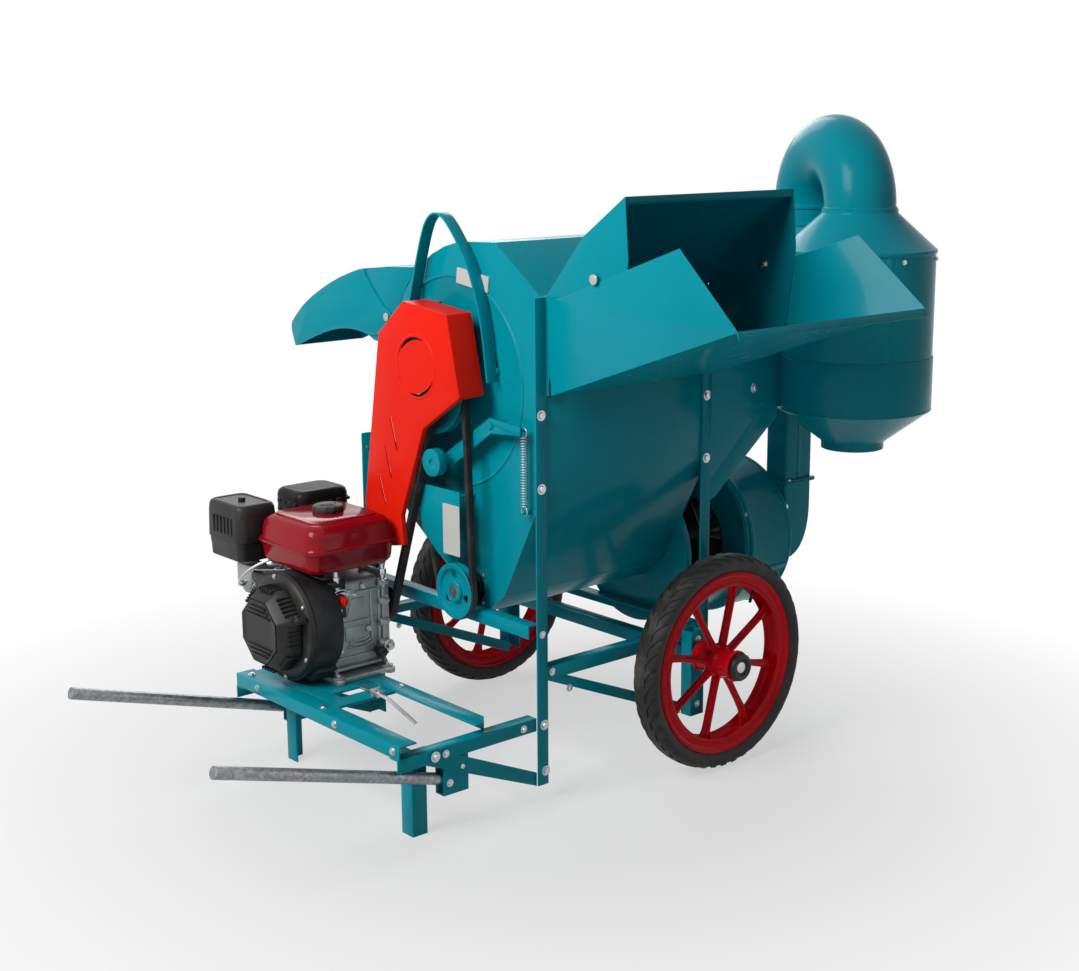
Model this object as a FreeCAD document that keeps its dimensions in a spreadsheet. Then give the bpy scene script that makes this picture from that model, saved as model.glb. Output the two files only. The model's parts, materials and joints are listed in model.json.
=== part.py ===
import FreeCAD, Part
import Sketcher
import os
import re

# Multi-crop thresher: a spiked drum in a sheet-metal body on two wheels, driven by a small
# petrol engine, with a grain blower and a cyclone. Millimetres, +Z up, X along the drum shaft
# from the engine end to the cyclone end, -Y at the feeding side.
# All places are measured from the point on the ground under the middle of the wheel axle;
# datum_x and datum_y carry them to the middle of the machine's outline.

doc = FreeCAD.newDocument("MultiCropThresher")
sheet = doc.addObject("Spreadsheet::Sheet", "Sizes")

sizes = {
    # machine datum
    "datum_x": 258.3,
    "datum_y": 84.3,
    # sheet metal, angle iron and running gaps
    "wall": 2,
    "angle_side": 25,
    "angle_wall": 3,
    "seat_gap": 0.3,
    "shaft_gap": 0.05,
    # threshing body
    "body_left": -364,
    "body_width": 415,
    "body_front": -264,
    "body_rear": 243,
    "split_height": 730,
    "drum_height": 753,
    "hood_top": 1013,
    "hood_flat_front": -130,
    "throat_top": 926,
    "throat_bottom": 757,
    "trough_bend": 592,
    "trough_floor": 316,
    "panel_gap": 1,
    # posts and rails
    "post_foot": 34,
    "post_top": 928,
    "right_post_top": 760,
    "rear_post_top": 620,
    "right_post_foot": 190,
    "side_rail_height": 257,
    "end_bar_height": 309,
    # feeding hopper and tray
    "mouth_top": 1105,
    "mouth_front": -465,
    "mouth_bottom": 1001,
    "tray_pivot_y": -398,
    "tray_pivot_z": 967,
    "tray_rear": -283,
    "tray_rear_height": 759,
    "tray_lip": -717,
    "tray_lip_height": 908,
    "tray_flare": 54,
    "tray_cheek_top": 1028,
    "tray_bolt_radius": 5,
    # straw chute
    "chute_width": 164,
    "chute_hinge_y": 200,
    "chute_hinge_z": 856,
    "chute_tip": 551,
    # threshing drum
    "drum_radius": 128,
    "spike_length": 37,
    "spike_radius": 5,
    "spike_rows": 6,
    "spikes_in_row": 7,
    "drum_shaft_radius": 17.5,
    "concave_radius": 182,
    "concave_rod_radius": 4,
    "concave_rods": 15,
    # pulleys and belts
    "main_belt_x": -429,
    "main_pulley_radius": 44,
    "engine_pulley_radius": 34,
    "main_belt_width": 16,
    "fan_belt_x": -407,
    "fan_drive_radius": 94,
    "fan_pulley_radius": 53,
    "fan_belt_width": 12,
    "belt_depth": 9,
    # blower
    "blower_y": -58,
    "blower_height": 366,
    "blower_shaft_radius": 12.5,
    "auger_radius": 42,
    "auger_flights": 8,
    "suction_radius": 153,
    "casing_left": 233,
    "casing_width": 125,
    "casing_radius": 160,
    "impeller_radius": 140,
    "impeller_blades": 6,
    # riser duct
    "duct_x": 356,
    "duct_width": 111,
    "duct_front": -172,
    "duct_depth": 56,
    "elbow_top": 480,
    "duct_top": 965,
    # cyclone
    "cyclone_x": 375,
    "cyclone_y": -355,
    "cyclone_radius": 150,
    "cone_foot": 580,
    "cone_foot_radius": 61,
    "barrel_bottom": 661,
    "barrel_top": 977,
    "pipe_foot": 1055,
    "pipe_radius": 70,
    "pipe_spacing": 220,
    "pipe_angle": 23,
    "band_bottom": 664,
    "band_height": 104,
    "band_swell": 22,
    # wheels
    "track": 700,
    "wheel_radius": 210,
    "tyre_width": 58,
    "rim_radius": 172,
    "rim_inner_radius": 150,
    "hub_radius": 30,
    "hub_length": 96,
    "spoke_count": 8,
    "spoke_width": 15,
    "spoke_start": 30.5,
    "axle_radius": 12.5,
    # engine frame
    "frame_left": -700,
    "frame_right": -496,
    "frame_half_width": 262,
    "frame_top": 190,
    "frame_bar": 38,
    "leg_x": -618,
    "leg_y": 215,
    "leg_side": 32,
    # tow handles
    "handle_y": 242,
    "handle_radius": 11,
    "handle_length": 455,
    "handle_tilt": 16.4,
    "handle_end_x": -610,
    "handle_end_z": 103,
    # engine
    "crank_y": 148,
    "crank_z": 302,
    "crank_radius": 9.5,
    "case_left": -668,
    "case_right": -446,
    "shroud_radius": 102,
    "recoil_radius": 82,
    "recoil_face_radius": 62,
    "recoil_face_x": -716,
    "tank_left": -655,
    "tank_front": 52,
    "tank_length": 205,
    "tank_depth": 204,
    "tank_bottom": 408,
    "tank_seam": 453,
    "tank_top": 502,
    "cap_radius": 31,
    # guard
    "guard_front": -450,
    "guard_depth": 57,
}


def setSizes():
    for row, (alias, value) in enumerate(sizes.items(), 1):
        sheet.set("A%d" % row, alias)
        sheet.set("B%d" % row, str(value))
        sheet.setAlias("B%d" % row, alias)
    doc.recompute()


def bound(text):
    """Point each size named in an expression at its cell."""
    return re.sub(r"[a-z_]+\w*", lambda m: "Sizes." + m.group(0) if m.group(0) in sizes else m.group(0), str(text))


def number(text):
    return float(sheet.evalExpression(bound(text)))


def bind(obj, prop, text):
    obj.setExpression(prop, bound(text))


def put(obj, x="0", y="0", z="0"):
    """Place an object, given in machine coordinates."""
    bind(obj, "Placement.Base.x", "(%s) + datum_x" % x)
    bind(obj, "Placement.Base.y", "(%s) + datum_y" % y)
    bind(obj, "Placement.Base.z", "%s" % z)
    return obj


turns = {
    "x": FreeCAD.Rotation(FreeCAD.Vector(0, 1, 0), 90),
    "y": FreeCAD.Rotation(FreeCAD.Vector(1, 0, 0), -90),
    "z": FreeCAD.Rotation(),
}
sketchTurns = {
    "x": FreeCAD.Rotation(FreeCAD.Vector(1, 1, 1), 120),
    "y": FreeCAD.Rotation(FreeCAD.Vector(1, 0, 0), 90),
    "z": FreeCAD.Rotation(),
}
ahead = {"x": FreeCAD.Vector(1, 0, 0), "y": FreeCAD.Vector(0, 1, 0), "z": FreeCAD.Vector(0, 0, 1)}
nodes = []


def node(obj, name):
    """Name a finished sub-part; its name is its file's name."""
    obj.Label = name
    nodes.append(obj)
    return obj


def box(x, y, z, length, depth, height):
    obj = put(doc.addObject("Part::Box", "Box"), x, y, z)
    bind(obj, "Length", length)
    bind(obj, "Width", depth)
    bind(obj, "Height", height)
    return obj


def rod(axis, x, y, z, radius, length):
    """A cylinder that starts at a point and runs along +X, +Y or +Z."""
    obj = doc.addObject("Part::Cylinder", "Rod")
    obj.Placement.Rotation = turns[axis]
    put(obj, x, y, z)
    bind(obj, "Radius", radius)
    bind(obj, "Height", length)
    return obj


def cone(axis, x, y, z, radius, endRadius, length):
    obj = doc.addObject("Part::Cone", "Cone")
    obj.Placement.Rotation = turns[axis]
    put(obj, x, y, z)
    bind(obj, "Radius1", radius)
    bind(obj, "Radius2", endRadius)
    bind(obj, "Height", length)
    return obj


def cut(base, *tools):
    for tool in tools:
        result = doc.addObject("Part::Cut", "Cut")
        result.Base = base
        result.Tool = tool
        base = result
    return base


def fuse(*shapes):
    result = doc.addObject("Part::MultiFuse", "Fuse")
    result.Shapes = list(shapes)
    return result


def common(*shapes):
    result = doc.addObject("Part::MultiCommon", "Common")
    result.Shapes = list(shapes)
    return result


def group(*shapes):
    """Separate solids that share one node."""
    result = doc.addObject("Part::Compound", "Group")
    result.Links = list(shapes)
    return result


def outline(axis, at, points, closed):
    """A sketch across an axis, each corner's place bound to its two expressions."""
    sketch = doc.addObject("Sketcher::SketchObject", "Outline")
    sketch.Placement.Rotation = sketchTurns[axis]
    put(sketch, **{axis: at})
    corners = [FreeCAD.Vector(number(a), number(b), 0) for a, b in points]
    lines = len(corners) if closed else len(corners) - 1
    for i in range(lines):
        sketch.addGeometry(Part.LineSegment(corners[i], corners[(i + 1) % len(corners)]), False)
    for i in range(lines - 1):
        sketch.addConstraint(Sketcher.Constraint("Coincident", i, 2, i + 1, 1))
    if closed:
        sketch.addConstraint(Sketcher.Constraint("Coincident", lines - 1, 2, 0, 1))
    for i, (a, b) in enumerate(points):
        line, end = (i, 1) if i < lines else (lines - 1, 2)
        for kind, text, value in (("DistanceX", a, corners[i].x), ("DistanceY", b, corners[i].y)):
            at = sketch.addConstraint(Sketcher.Constraint(kind, line, end, value))
            sketch.setExpression("Constraints[%d]" % at, bound(text))
    return sketch


def extrude(face, axis, length):
    result = doc.addObject("Part::Extrusion", "Extrusion")
    result.Base = face
    result.DirMode = "Custom"
    result.Dir = ahead[axis]
    bind(result, "LengthFwd", length)
    result.Solid = True
    return result


def plate(axis, at, length, points):
    """A flat plate or block with a straight-sided outline."""
    return extrude(outline(axis, at, points, True), axis, length)


def foldedSheet(axis, at, length, points, thickness="wall"):
    """A sheet folded along straight lines that run along an axis."""
    strip = doc.addObject("Part::Offset2D", "Strip")
    strip.Source = outline(axis, at, points, False)
    strip.Mode = "Skin"
    strip.Join = "Intersection"
    strip.Fill = True
    bind(strip, "Value", thickness)
    strip.Value = number(thickness)
    return extrude(strip, axis, length)


def turned(axis, x, y, z, points):
    """A piece turned on a lathe: points are (radius, place along the axis)."""
    sketch = doc.addObject("Sketcher::SketchObject", "Profile")
    corners = [FreeCAD.Vector(number(a), number(b), 0) for a, b in points]
    count = len(corners)
    for i in range(count):
        sketch.addGeometry(Part.LineSegment(corners[i], corners[(i + 1) % count]), False)
    for i in range(count):
        sketch.addConstraint(Sketcher.Constraint("Coincident", i, 2, (i + 1) % count, 1))
    for i, (a, b) in enumerate(points):
        for kind, text, value in (("DistanceX", a, corners[i].x), ("DistanceY", b, corners[i].y)):
            at = sketch.addConstraint(Sketcher.Constraint(kind, i, 1, value))
            sketch.setExpression("Constraints[%d]" % at, bound(text))
    result = doc.addObject("Part::Revolution", "Turned")
    result.Source = sketch
    result.Axis = FreeCAD.Vector(0, 1, 0)
    result.Base = FreeCAD.Vector(0, 0, 0)
    result.Angle = 360
    result.Solid = True
    lathe = {"x": FreeCAD.Rotation(FreeCAD.Vector(0, 0, 1), -90), "y": FreeCAD.Rotation(),
             "z": FreeCAD.Rotation(FreeCAD.Vector(1, 0, 0), 90)}
    result.Placement.Rotation = lathe[axis]
    return put(result, x, y, z)


def ring(axis, x, y, z, radius, bore, length):
    return turned(axis, x, y, z, [(bore, "0"), (radius, "0"), (radius, length), (bore, length)])


def angleIron(axis, x, y, z, length, heel):
    """An angle iron in the box that starts at x, y, z; heel gives its corner, such as '+-'."""
    side, thin = "angle_side", "angle_wall"
    across = {"x": "yz", "y": "xz", "z": "xy"}[axis]
    start = {"x": x, "y": y, "z": z}
    size = {"x": side, "y": side, "z": side}
    size[axis] = length
    bar = box(start["x"], start["y"], start["z"], size["x"], size["y"], size["z"])
    hollow = dict(start)
    hollowSize = {"x": side, "y": side, "z": side}
    hollow[axis] = "(%s) - 1" % start[axis]
    hollowSize[axis] = "(%s) + 2" % length
    for letter, sign in zip(across, heel):
        hollow[letter] = "(%s) + %s" % (start[letter], thin) if sign == "-" else "(%s) - %s" % (start[letter], thin)
    return cut(bar, box(hollow["x"], hollow["y"], hollow["z"], hollowSize["x"], hollowSize["y"], hollowSize["z"]))


def tilted(obj, axis, degrees, x, y, z):
    """Turn an object that was made at the datum and place it."""
    obj.Placement.Rotation = FreeCAD.Rotation(ahead[axis], 1)
    bind(obj, "Placement.Rotation.Angle", degrees)
    return put(obj, x, y, z)


def atDatum(kind, **values):
    """A primitive at the datum, for pieces that are turned afterwards."""
    obj = doc.addObject("Part::" + kind, kind)
    for prop, text in values.items():
        bind(obj, prop, text)
    return obj


def around(axis, obj, count, startAngle, x, y, z):
    """Copies of one solid turned about an axis, from a start angle."""
    copies = []
    for i in range(int(number(count))):
        copy = doc.addObject("Part::Compound", "Turn")
        copy.Links = [obj]
        angle = "(%s) + %d * 360 / %s" % (startAngle, i, count)
        tilted(copy, axis, angle, x, y, z)
        copies.append(copy)
    return copies


setSizes()

# corner posts and rails: 25 mm angle iron

def mirrored(make):
    """The near and the far one of a pair."""
    return [make("near"), make("far")]


def leftPost(side):
    y = "0 - 268" if side == "near" else "268 - angle_side"
    top = "post_top" if side == "near" else "rear_post_top"
    return angleIron("z", "body_left - angle_side", y, "post_foot", "%s - post_foot" % top, "+-" if side == "near" else "++")


def rightPost(side):
    y = "0 - 269" if side == "near" else "269 - angle_side"
    top = "right_post_top" if side == "near" else "rear_post_top"
    return angleIron("z", "body_left + body_width - 22", y, "right_post_foot", "%s - right_post_foot" % top,
                     "+-" if side == "near" else "++")


ties = [box("body_left - angle_wall", "150", "560", "angle_wall", "93", "40"),
        box("body_left + body_width", "150", "560", "angle_wall", "94", "40")]
node(group(*mirrored(leftPost), *mirrored(rightPost), *ties), "corner_posts")


def sideRail(side):
    y = "0 - 266" if side == "near" else "266 - angle_side"
    return angleIron("x", "body_left", y, "side_rail_height - angle_side", "body_width", "-+" if side == "near" else "++")




def sideBrace(side):
    y = "0 - 265" if side == "near" else "260"
    return plate("y", y, "5", [("body_left", "232"), ("0 - 18.5", "85"), ("0 - 18.5", "108"), ("body_left + 47", "232")])


leftBar = angleIron("y", "body_left - 25", "0 - 243", "end_bar_height", "486", "-+")
rightBar = angleIron("y", "body_left + body_width - 25", "0 - 241", "side_rail_height - angle_side", "482", "++")
node(group(*mirrored(sideRail), leftBar, rightBar, *mirrored(sideBrace)), "body_rails")

# axle, its carriers and the wheels


def carrier(side):
    back = "0 - 290" if side == "near" else "266"
    web = "0 - 293" if side == "near" else "290"
    walls = [box("0 - 18", back, "85", "angle_wall", "24", "172"), box("15", back, "85", "angle_wall", "24", "172"),
             box("0 - 18", web, "85", "36", "angle_wall", "172")]
    return cut(fuse(*walls), box("0 - 12.7", "0 - 300", "197.3", "25.4", "600", "25.4"))


node(group(*mirrored(carrier)), "axle_carriers")
bar = box("0 - 12.5", "0 - 300", "wheel_radius - 12.5", "25", "600", "25")
stubs = rod("y", "0", "0 - 404", "wheel_radius", "axle_radius", "808")
node(fuse(bar, stubs), "axle")
nearWasher = ring("y", "0", "0 - 301.7", "wheel_radius", "20", "axle_radius + 0.1", "1.5")
farWasher = ring("y", "0", "300.2", "wheel_radius", "20", "axle_radius + 0.1", "1.5")


def wheel(side):
    sign = "0 -" if side == "near" else "0 +"
    middle = "%s track / 2" % sign
    rim = turned("y", "0", "%s - 21" % middle, "wheel_radius", [
        ("rim_inner_radius", "0"), ("rim_radius + 6", "0"), ("rim_radius + 6", "3"), ("rim_radius - 4", "6"),
        ("rim_radius - 4", "36"), ("rim_radius + 6", "39"), ("rim_radius + 6", "42"), ("rim_inner_radius", "42"),
        ("rim_inner_radius", "39"), ("rim_radius - 7", "34"), ("rim_radius - 7", "8"), ("rim_inner_radius", "3")])
    inner = "%s - hub_length / 2" % middle
    hub = turned("y", "0", inner, "wheel_radius", [
        ("axle_radius + 3", "0"), ("hub_radius", "0"), ("hub_radius", "8"), ("hub_radius - 3", "14"),
        ("hub_radius - 3", "hub_length - 14"), ("hub_radius", "hub_length - 8"), ("hub_radius", "hub_length"),
        ("axle_radius + 3", "hub_length")])
    spoke = plate("y", "0 - 4", "8", [("hub_radius - 6", "0 - spoke_width / 2 - 2"), ("rim_inner_radius - 18", "0 - spoke_width / 2"),
                                    ("rim_inner_radius + 1", "0 - spoke_width"), ("rim_radius - 6", "0 - spoke_width"),
                                    ("rim_radius - 6", "spoke_width"), ("rim_inner_radius + 1", "spoke_width"),
                                    ("rim_inner_radius - 18", "spoke_width / 2"), ("hub_radius - 6", "spoke_width / 2 + 2")])
    rib = plate("y", "0 - 11", "22", [("hub_radius - 6", "0 - 2.5"), ("rim_radius - 6", "0 - 2.5"),
                                     ("rim_radius - 6", "2.5"), ("hub_radius - 6", "2.5")])
    for piece in (spoke, rib):
        bind(piece.Base, "Placement.Base.x", "0")
        bind(piece.Base, "Placement.Base.z", "0")
    bind(spoke.Base, "Placement.Base.y", "0 - 4")
    bind(rib.Base, "Placement.Base.y", "0 - 11")
    arm = fuse(spoke, rib)
    arms = around("y", arm, "spoke_count", "spoke_start", "0", middle, "wheel_radius")
    bush = ring("y", "0", inner, "wheel_radius", "axle_radius + 3", "axle_radius + shaft_gap", "hub_length")
    node(group(fuse(rim, hub, *arms), bush), side + "_wheel")
    node(turned("y", "0", "%s - tyre_width / 2" % middle, "wheel_radius", [
        ("rim_radius - 3.7", "15"), ("rim_radius + 6.5", "12"), ("rim_radius + 6.5", "6"), ("wheel_radius - 22", "0"),
        ("wheel_radius - 10", "3"), ("wheel_radius - 3", "12"), ("wheel_radius", "24"), ("wheel_radius", "tyre_width - 24"),
        ("wheel_radius - 3", "tyre_width - 12"), ("wheel_radius - 10", "tyre_width - 3"), ("wheel_radius - 22", "tyre_width"),
        ("rim_radius + 6.5", "tyre_width - 6"), ("rim_radius + 6.5", "tyre_width - 12"), ("rim_radius - 3.7", "tyre_width - 15")]),
        side + "_tyre")


for side in ("near", "far"):
    wheel(side)


def axleNut(side):
    y = "0 - 412" if side == "near" else "398.3"
    body = rod("y", "0", y, "wheel_radius", "27", "13.7")
    start = "0 - 405" if side == "near" else "398"
    return cut(body, rod("y", "0", start, "wheel_radius", "axle_radius + 0.1", "7.2" if side == "near" else "6.3"))


node(group(*mirrored(axleNut), nearWasher, farWasher), "axle_nuts")

# engine frame, legs and handles


def crossRail(x):
    top = box(x, "0 - frame_half_width - 6", "frame_top - angle_wall", "frame_bar", "frame_half_width * 2 + 6", "angle_wall")
    return top


left = fuse(crossRail("frame_left"), box("frame_left", "0 - frame_half_width - 6", "frame_top - angle_side", "angle_wall",
                                        "frame_half_width * 2 + 6", "angle_side"))
right = fuse(crossRail("frame_right - frame_bar"), box("frame_right - angle_wall", "0 - frame_half_width - 6", "frame_top - angle_side",
                                                     "angle_wall", "frame_half_width * 2 + 6", "angle_side"))
corner = plate("z", "frame_top - 30", "40", [("frame_right - 24", "0 - frame_half_width - 7"),
                                            ("frame_right + 1", "0 - frame_half_width - 7"),
                                            ("frame_right + 1", "0 - frame_half_width + 18")])
crossRails = [left, cut(right, corner)]


def frameSide(side):
    y = "0 - 264" if side == "near" else "264 - angle_side"
    return angleIron("x", "frame_left", y, "frame_top - 50", "body_left - angle_side - frame_left", "-+" if side == "near" else "++")


sideRails = mirrored(frameSide)


def frameBrace(side):
    y = "0 - 264" if side == "near" else "260"
    return plate("y", y, "4", [("0 - 640", "frame_top - 50"), ("body_left - angle_side", "post_foot"),
                               ("body_left - angle_side", "post_foot + 26"), ("0 - 566", "frame_top - 50")])


frameBraces = mirrored(frameBrace)


def leg(side):
    x = "0 - 650" if side == "near" else "0 - 609"
    y = "0 - 234" if side == "near" else "234 - leg_side"
    post = box(x, y, "0", "leg_side", "leg_side", "frame_top - 28")
    inside = box("%s + angle_wall" % x, "%s + angle_wall" % y if side == "near" else "%s - 1" % y, "0 - 1", "leg_side",
                 "leg_side" if side == "near" else "leg_side - angle_wall + 1", "frame_top")
    tie = box(x, "0 - 261" if side == "near" else "231", "frame_top - 31", "leg_side", "30", "3")
    return fuse(cut(post, inside), tie)


legs = mirrored(leg)
tray = box("frame_left + frame_bar", "0 - 30", "frame_top - 5", "frame_right - frame_left - frame_bar * 2", "280", "5")
basePlate = cut(tray, box("0 - 628", "10", "0", "60", "28", "300"))
node(group(*crossRails, *sideRails, *frameBraces, basePlate), "engine_frame")


def socket(side):
    y = "0 - 260" if side == "near" else "236"
    stubY = "0 - 250" if side == "near" else "250"
    shell = cut(box("0 - 600", y, "71", "55", "24", "69"), box("0 - 601", "%s + 3" % y, "74", "53", "18", "63"))
    stub = tilted(atDatum("Cylinder", Radius="handle_radius - 3", Height="130"), "y", "handle_tilt - 90",
                  "0 - 549", stubY, "86.3")
    return fuse(shell, stub)


node(group(*legs, *mirrored(socket)), "frame_legs_and_sockets")


def handle(side):
    y = "0 - 250" if side == "near" else "250"
    pipe = cut(atDatum("Cylinder", Radius="handle_radius", Height="handle_length"),
               atDatum("Cylinder", Radius="handle_radius - 2.6", Height="handle_length - 2"))
    return tilted(pipe, "y", "handle_tilt - 90", "0 - 608", y, "103.7")


node(handle("near"), "near_handle")
node(handle("far"), "far_handle")

# threshing body

hoodArc = [("0 - 60 + 249 * cos(%g)" % a, "762 + 249 * sin(%g)" % a) for a in range(0, 91, 9)]
rearLine = [("27", "395"), ("136", "469"), ("178", "505"), ("189", "split_height")]
troughLine = [("0 - 144", "366"), ("0 - 94", "326"), ("0 - 72", "trough_floor + 2"), ("0 - 44", "trough_floor + 2"),
              ("0 - 22", "326"), ("4", "372"), ("27", "395")]
frontLine = [("body_front", "throat_bottom"), ("body_front", "trough_bend"), ("0 - 144", "366")]
hoodLine = [("189", "split_height")] + hoodArc + [("hood_flat_front", "hood_top"), ("body_front + 11", "throat_top")]
inner = ("body_left + wall", "body_width - 2 * wall")


def endPanel(at):
    points = frontLine + troughLine[1:] + rearLine[1:] + hoodLine[1:]
    return fuse(plate("x", at, "wall", points + [("body_front", "throat_top - 6")]), foldedSheet("x", at, "wall", points))


bead = doc.addObject("Part::Torus", "Bead")
bead.Placement.Rotation = turns["x"]
bead.Radius2 = 3.5
bind(bead, "Radius1", "196")
put(bead, "body_left + 1", "0 - 8", "drum_height")
shaftHoles = [rod("x", "body_left - 10", "0", "drum_height", "drum_shaft_radius + 6", "600"),
              rod("x", "body_left - 10", "blower_y", "blower_height", "blower_shaft_radius + 6", "300")]
leftPanel = fuse(endPanel("body_left"), common(bead, box("body_left - 5", "0 - 300", "300", "5", "600", "800")))
node(cut(leftPanel, *shaftHoles), "end_panel_left")
grainMouth = rod("x", "body_left + body_width - 10", "blower_y", "blower_height", "46", "20")
node(cut(endPanel("body_left + body_width - wall"), shaftHoles[0], grainMouth), "end_panel_right")
strawMouth = box("body_left + 4", "100", "795", "chute_width - 8", "120", "130")
node(cut(foldedSheet("x", *inner, hoodLine), strawMouth), "hood")
node(foldedSheet("x", *inner, frontLine), "front_panel")
node(foldedSheet("x", *inner, troughLine + rearLine[1:]), "trough_panel")

# feeding hopper


def hopperSide(x):
    return plate("x", x, "wall", [("body_front - 2.5", "throat_top"), ("0 - 364", "1036"), ("mouth_front", "mouth_top"),
                                  ("mouth_front - 8", "mouth_bottom"), ("0 - 450", "846"), ("body_front - 2.5", "782")])


roof = foldedSheet("x", "body_left", "body_width", [("mouth_front + 3", "mouth_top - 14"), ("mouth_front", "mouth_top"),
                                                    ("0 - 364", "1036"), ("body_front - 2.5", "throat_top + 1")])
node(fuse(hopperSide("body_left"), hopperSide("body_left + body_width - wall"), roof), "feed_hopper")

# feed tray: floor and two cheeks, swinging on two bolts
cheek = [("0 - 274", "919"), ("tray_rear", "tray_rear_height"), ("tray_lip", "tray_lip_height"), ("0 - 591", "tray_cheek_top")]
bolt = rod("x", "body_left - 40", "tray_pivot_y", "tray_pivot_z", "tray_bolt_radius + shaft_gap", "600")
leftCheek = plate("x", "body_left - 2.5", "wall", cheek)
rightEdge = "body_left + body_width + 2.5"
strip = foldedSheet("z", "740", "300", [(rightEdge, "tray_rear"), (rightEdge, "0 - 478"),
                                        (rightEdge + " + tray_flare", "tray_lip")])
rightCheek = common(strip, plate("x", "body_left + body_width - 2", "60", cheek))
planEdge = "body_left + body_width + 2.5"
plan = plate("z", "740", "300", [("body_left - 2.5", "tray_rear"), (planEdge, "tray_rear"), (planEdge, "0 - 478"),
                                 (planEdge + " + tray_flare", "tray_lip"), (planEdge + " + tray_flare", "tray_lip - 12"),
                                 ("body_left - 2.5", "tray_lip - 12")])
floor = foldedSheet("x", "body_left - 3", "body_width + 66", [("tray_lip - 5", "tray_lip_height - 14"),
                                                            ("tray_lip", "tray_lip_height"), ("tray_rear", "tray_rear_height")])
node(cut(fuse(leftCheek, rightCheek, common(floor, plan)), bolt), "feed_tray")


def pivotBolt(x, head):
    return fuse(rod("x", x, "tray_pivot_y", "tray_pivot_z", "tray_bolt_radius", "9.4"),
                rod("x", head, "tray_pivot_y", "tray_pivot_z", "9", "5"))


pins = group(pivotBolt("body_left - 9.4", "body_left - 9.4"), pivotBolt("body_left + body_width", "body_left + body_width + 4.4"))


# straw chute and its deflector
chuteLeft = "body_left"
arch = [("0 - 60 + 252.5 * cos(%g)" % a, "762 + 252.5 * sin(%g)" % a) for a in (50, 40, 30, 20, 8)]


def chuteCheek(x):
    return plate("x", x, "wall", arch + [("250", "806"), ("290", "823"), ("290", "939"), ("200", "951")])


chuteTop = foldedSheet("x", chuteLeft, "chute_width", [("290", "939"), ("200", "951"), ("0 - 60 + 252.5 * cos(50)", "762 + 252.5 * sin(50)")])
node(fuse(chuteCheek(chuteLeft), chuteCheek(chuteLeft + " + chute_width - wall"), chuteTop), "straw_chute")


def deflectorCheek(x):
    return plate("x", x, "wall", [("275", "944"), ("385", "916"), ("483", "868"), ("chute_tip", "810"), ("532", "768"),
                                  ("460", "795"), ("390", "818"), ("320", "826"), ("240", "812"), ("205", "838"),
                                  ("187", "848"), ("186", "862"), ("196", "871"), ("210", "872"), ("268", "930")])


deflectorTop = foldedSheet("x", chuteLeft + " - 2.5", "chute_width + 5", [
    ("532", "770"), ("chute_tip", "810"), ("483", "868"), ("385", "916"), ("275", "946")])
hingeBolt = rod("x", "body_left - 20", "chute_hinge_y", "chute_hinge_z", "4.05", "300")
shell = fuse(deflectorCheek(chuteLeft + " - 2.5"), deflectorCheek(chuteLeft + " + chute_width + 0.5"), deflectorTop)
node(cut(shell, hingeBolt), "straw_deflector")


def chuteBolt(x, head):
    return fuse(rod("x", x, "chute_hinge_y", "chute_hinge_z", "4", "6.5"), rod("x", head, "chute_hinge_y", "chute_hinge_z", "8", "3.5"))


node(group(pins, chuteBolt("body_left - 6.5", "body_left - 6.5"), chuteBolt("body_left + chute_width", "body_left + chute_width + 3")),
     "pivot_bolts")

# threshing drum and concave
node(rod("x", "0 - 446", "0", "drum_height", "drum_shaft_radius", "body_left + body_width + 30 + 446"), "drum_shaft")
barrel = ring("x", "body_left + 24", "0", "drum_height", "drum_radius", "drum_radius - 4", "body_width - 48")
discs = [ring("x", x, "0", "drum_height", "drum_radius", "drum_shaft_radius", "6")
         for x in ("body_left + 24", "body_left + body_width / 2", "body_left + body_width - 30")]
spikes = []
for row in range(int(sizes["spike_rows"])):
    for place in range(int(sizes["spikes_in_row"])):
        spike = atDatum("Cylinder", Radius="spike_radius", Height="drum_radius + spike_length")
        x = "body_left + 46 + %d * (body_width - 110) / (spikes_in_row - 1) + %d" % (place, (row % 2) * 18)
        tilted(spike, "x", "%d * 360 / spike_rows" % row, x, "0", "drum_height")
        spikes.append(spike)
core = rod("x", "body_left + 30", "0", "drum_height", "drum_radius - 2", "body_width - 60")
teeth = cut(group(*spikes), core)
node(fuse(barrel, *discs, teeth), "threshing_drum")


def concaveRib(x):
    return plate("x", x, "4", [("%g * concave_radius * cos(%d)" % (k, a), "drum_height - %g * concave_radius * sin(%d)" % (k, a))
                               for k, fan in ((1.0, range(5, 176, 10)), (0.945, range(175, 4, -10))) for a in fan])


rods = []
for i in range(15):
    angle = 10 + 160 * i / 14
    rods.append(rod("x", "body_left + 2", "0.972 * concave_radius * cos(%g)" % angle,
                    "drum_height - 0.972 * concave_radius * sin(%g)" % angle, "concave_rod_radius", "body_width - 4"))
node(fuse(*[concaveRib(x) for x in ("body_left + 2", "body_left + body_width / 2", "body_left + body_width - 6")], *rods), "concave")


def bearing(x, y, z, radius, bore):
    return fuse(ring("x", x, y, z, "%s + 22" % radius, bore, "10"), ring("x", x, y, z, "%s + 10" % radius, bore, "22"))


def bearingOut(x, y, z, radius, bore):
    flange = ring("x", "%s - 10" % x, y, z, "%s + 22" % radius, bore, "10")
    return fuse(flange, ring("x", "%s - 22" % x, y, z, "%s + 10" % radius, bore, "22"))


shaftBore = "drum_shaft_radius + shaft_gap"
bearings = [bearingOut("body_left", "0", "drum_height", "drum_shaft_radius", shaftBore),
            bearing("body_left + body_width", "0", "drum_height", "drum_shaft_radius", shaftBore)]

# pulleys and belts


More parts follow.
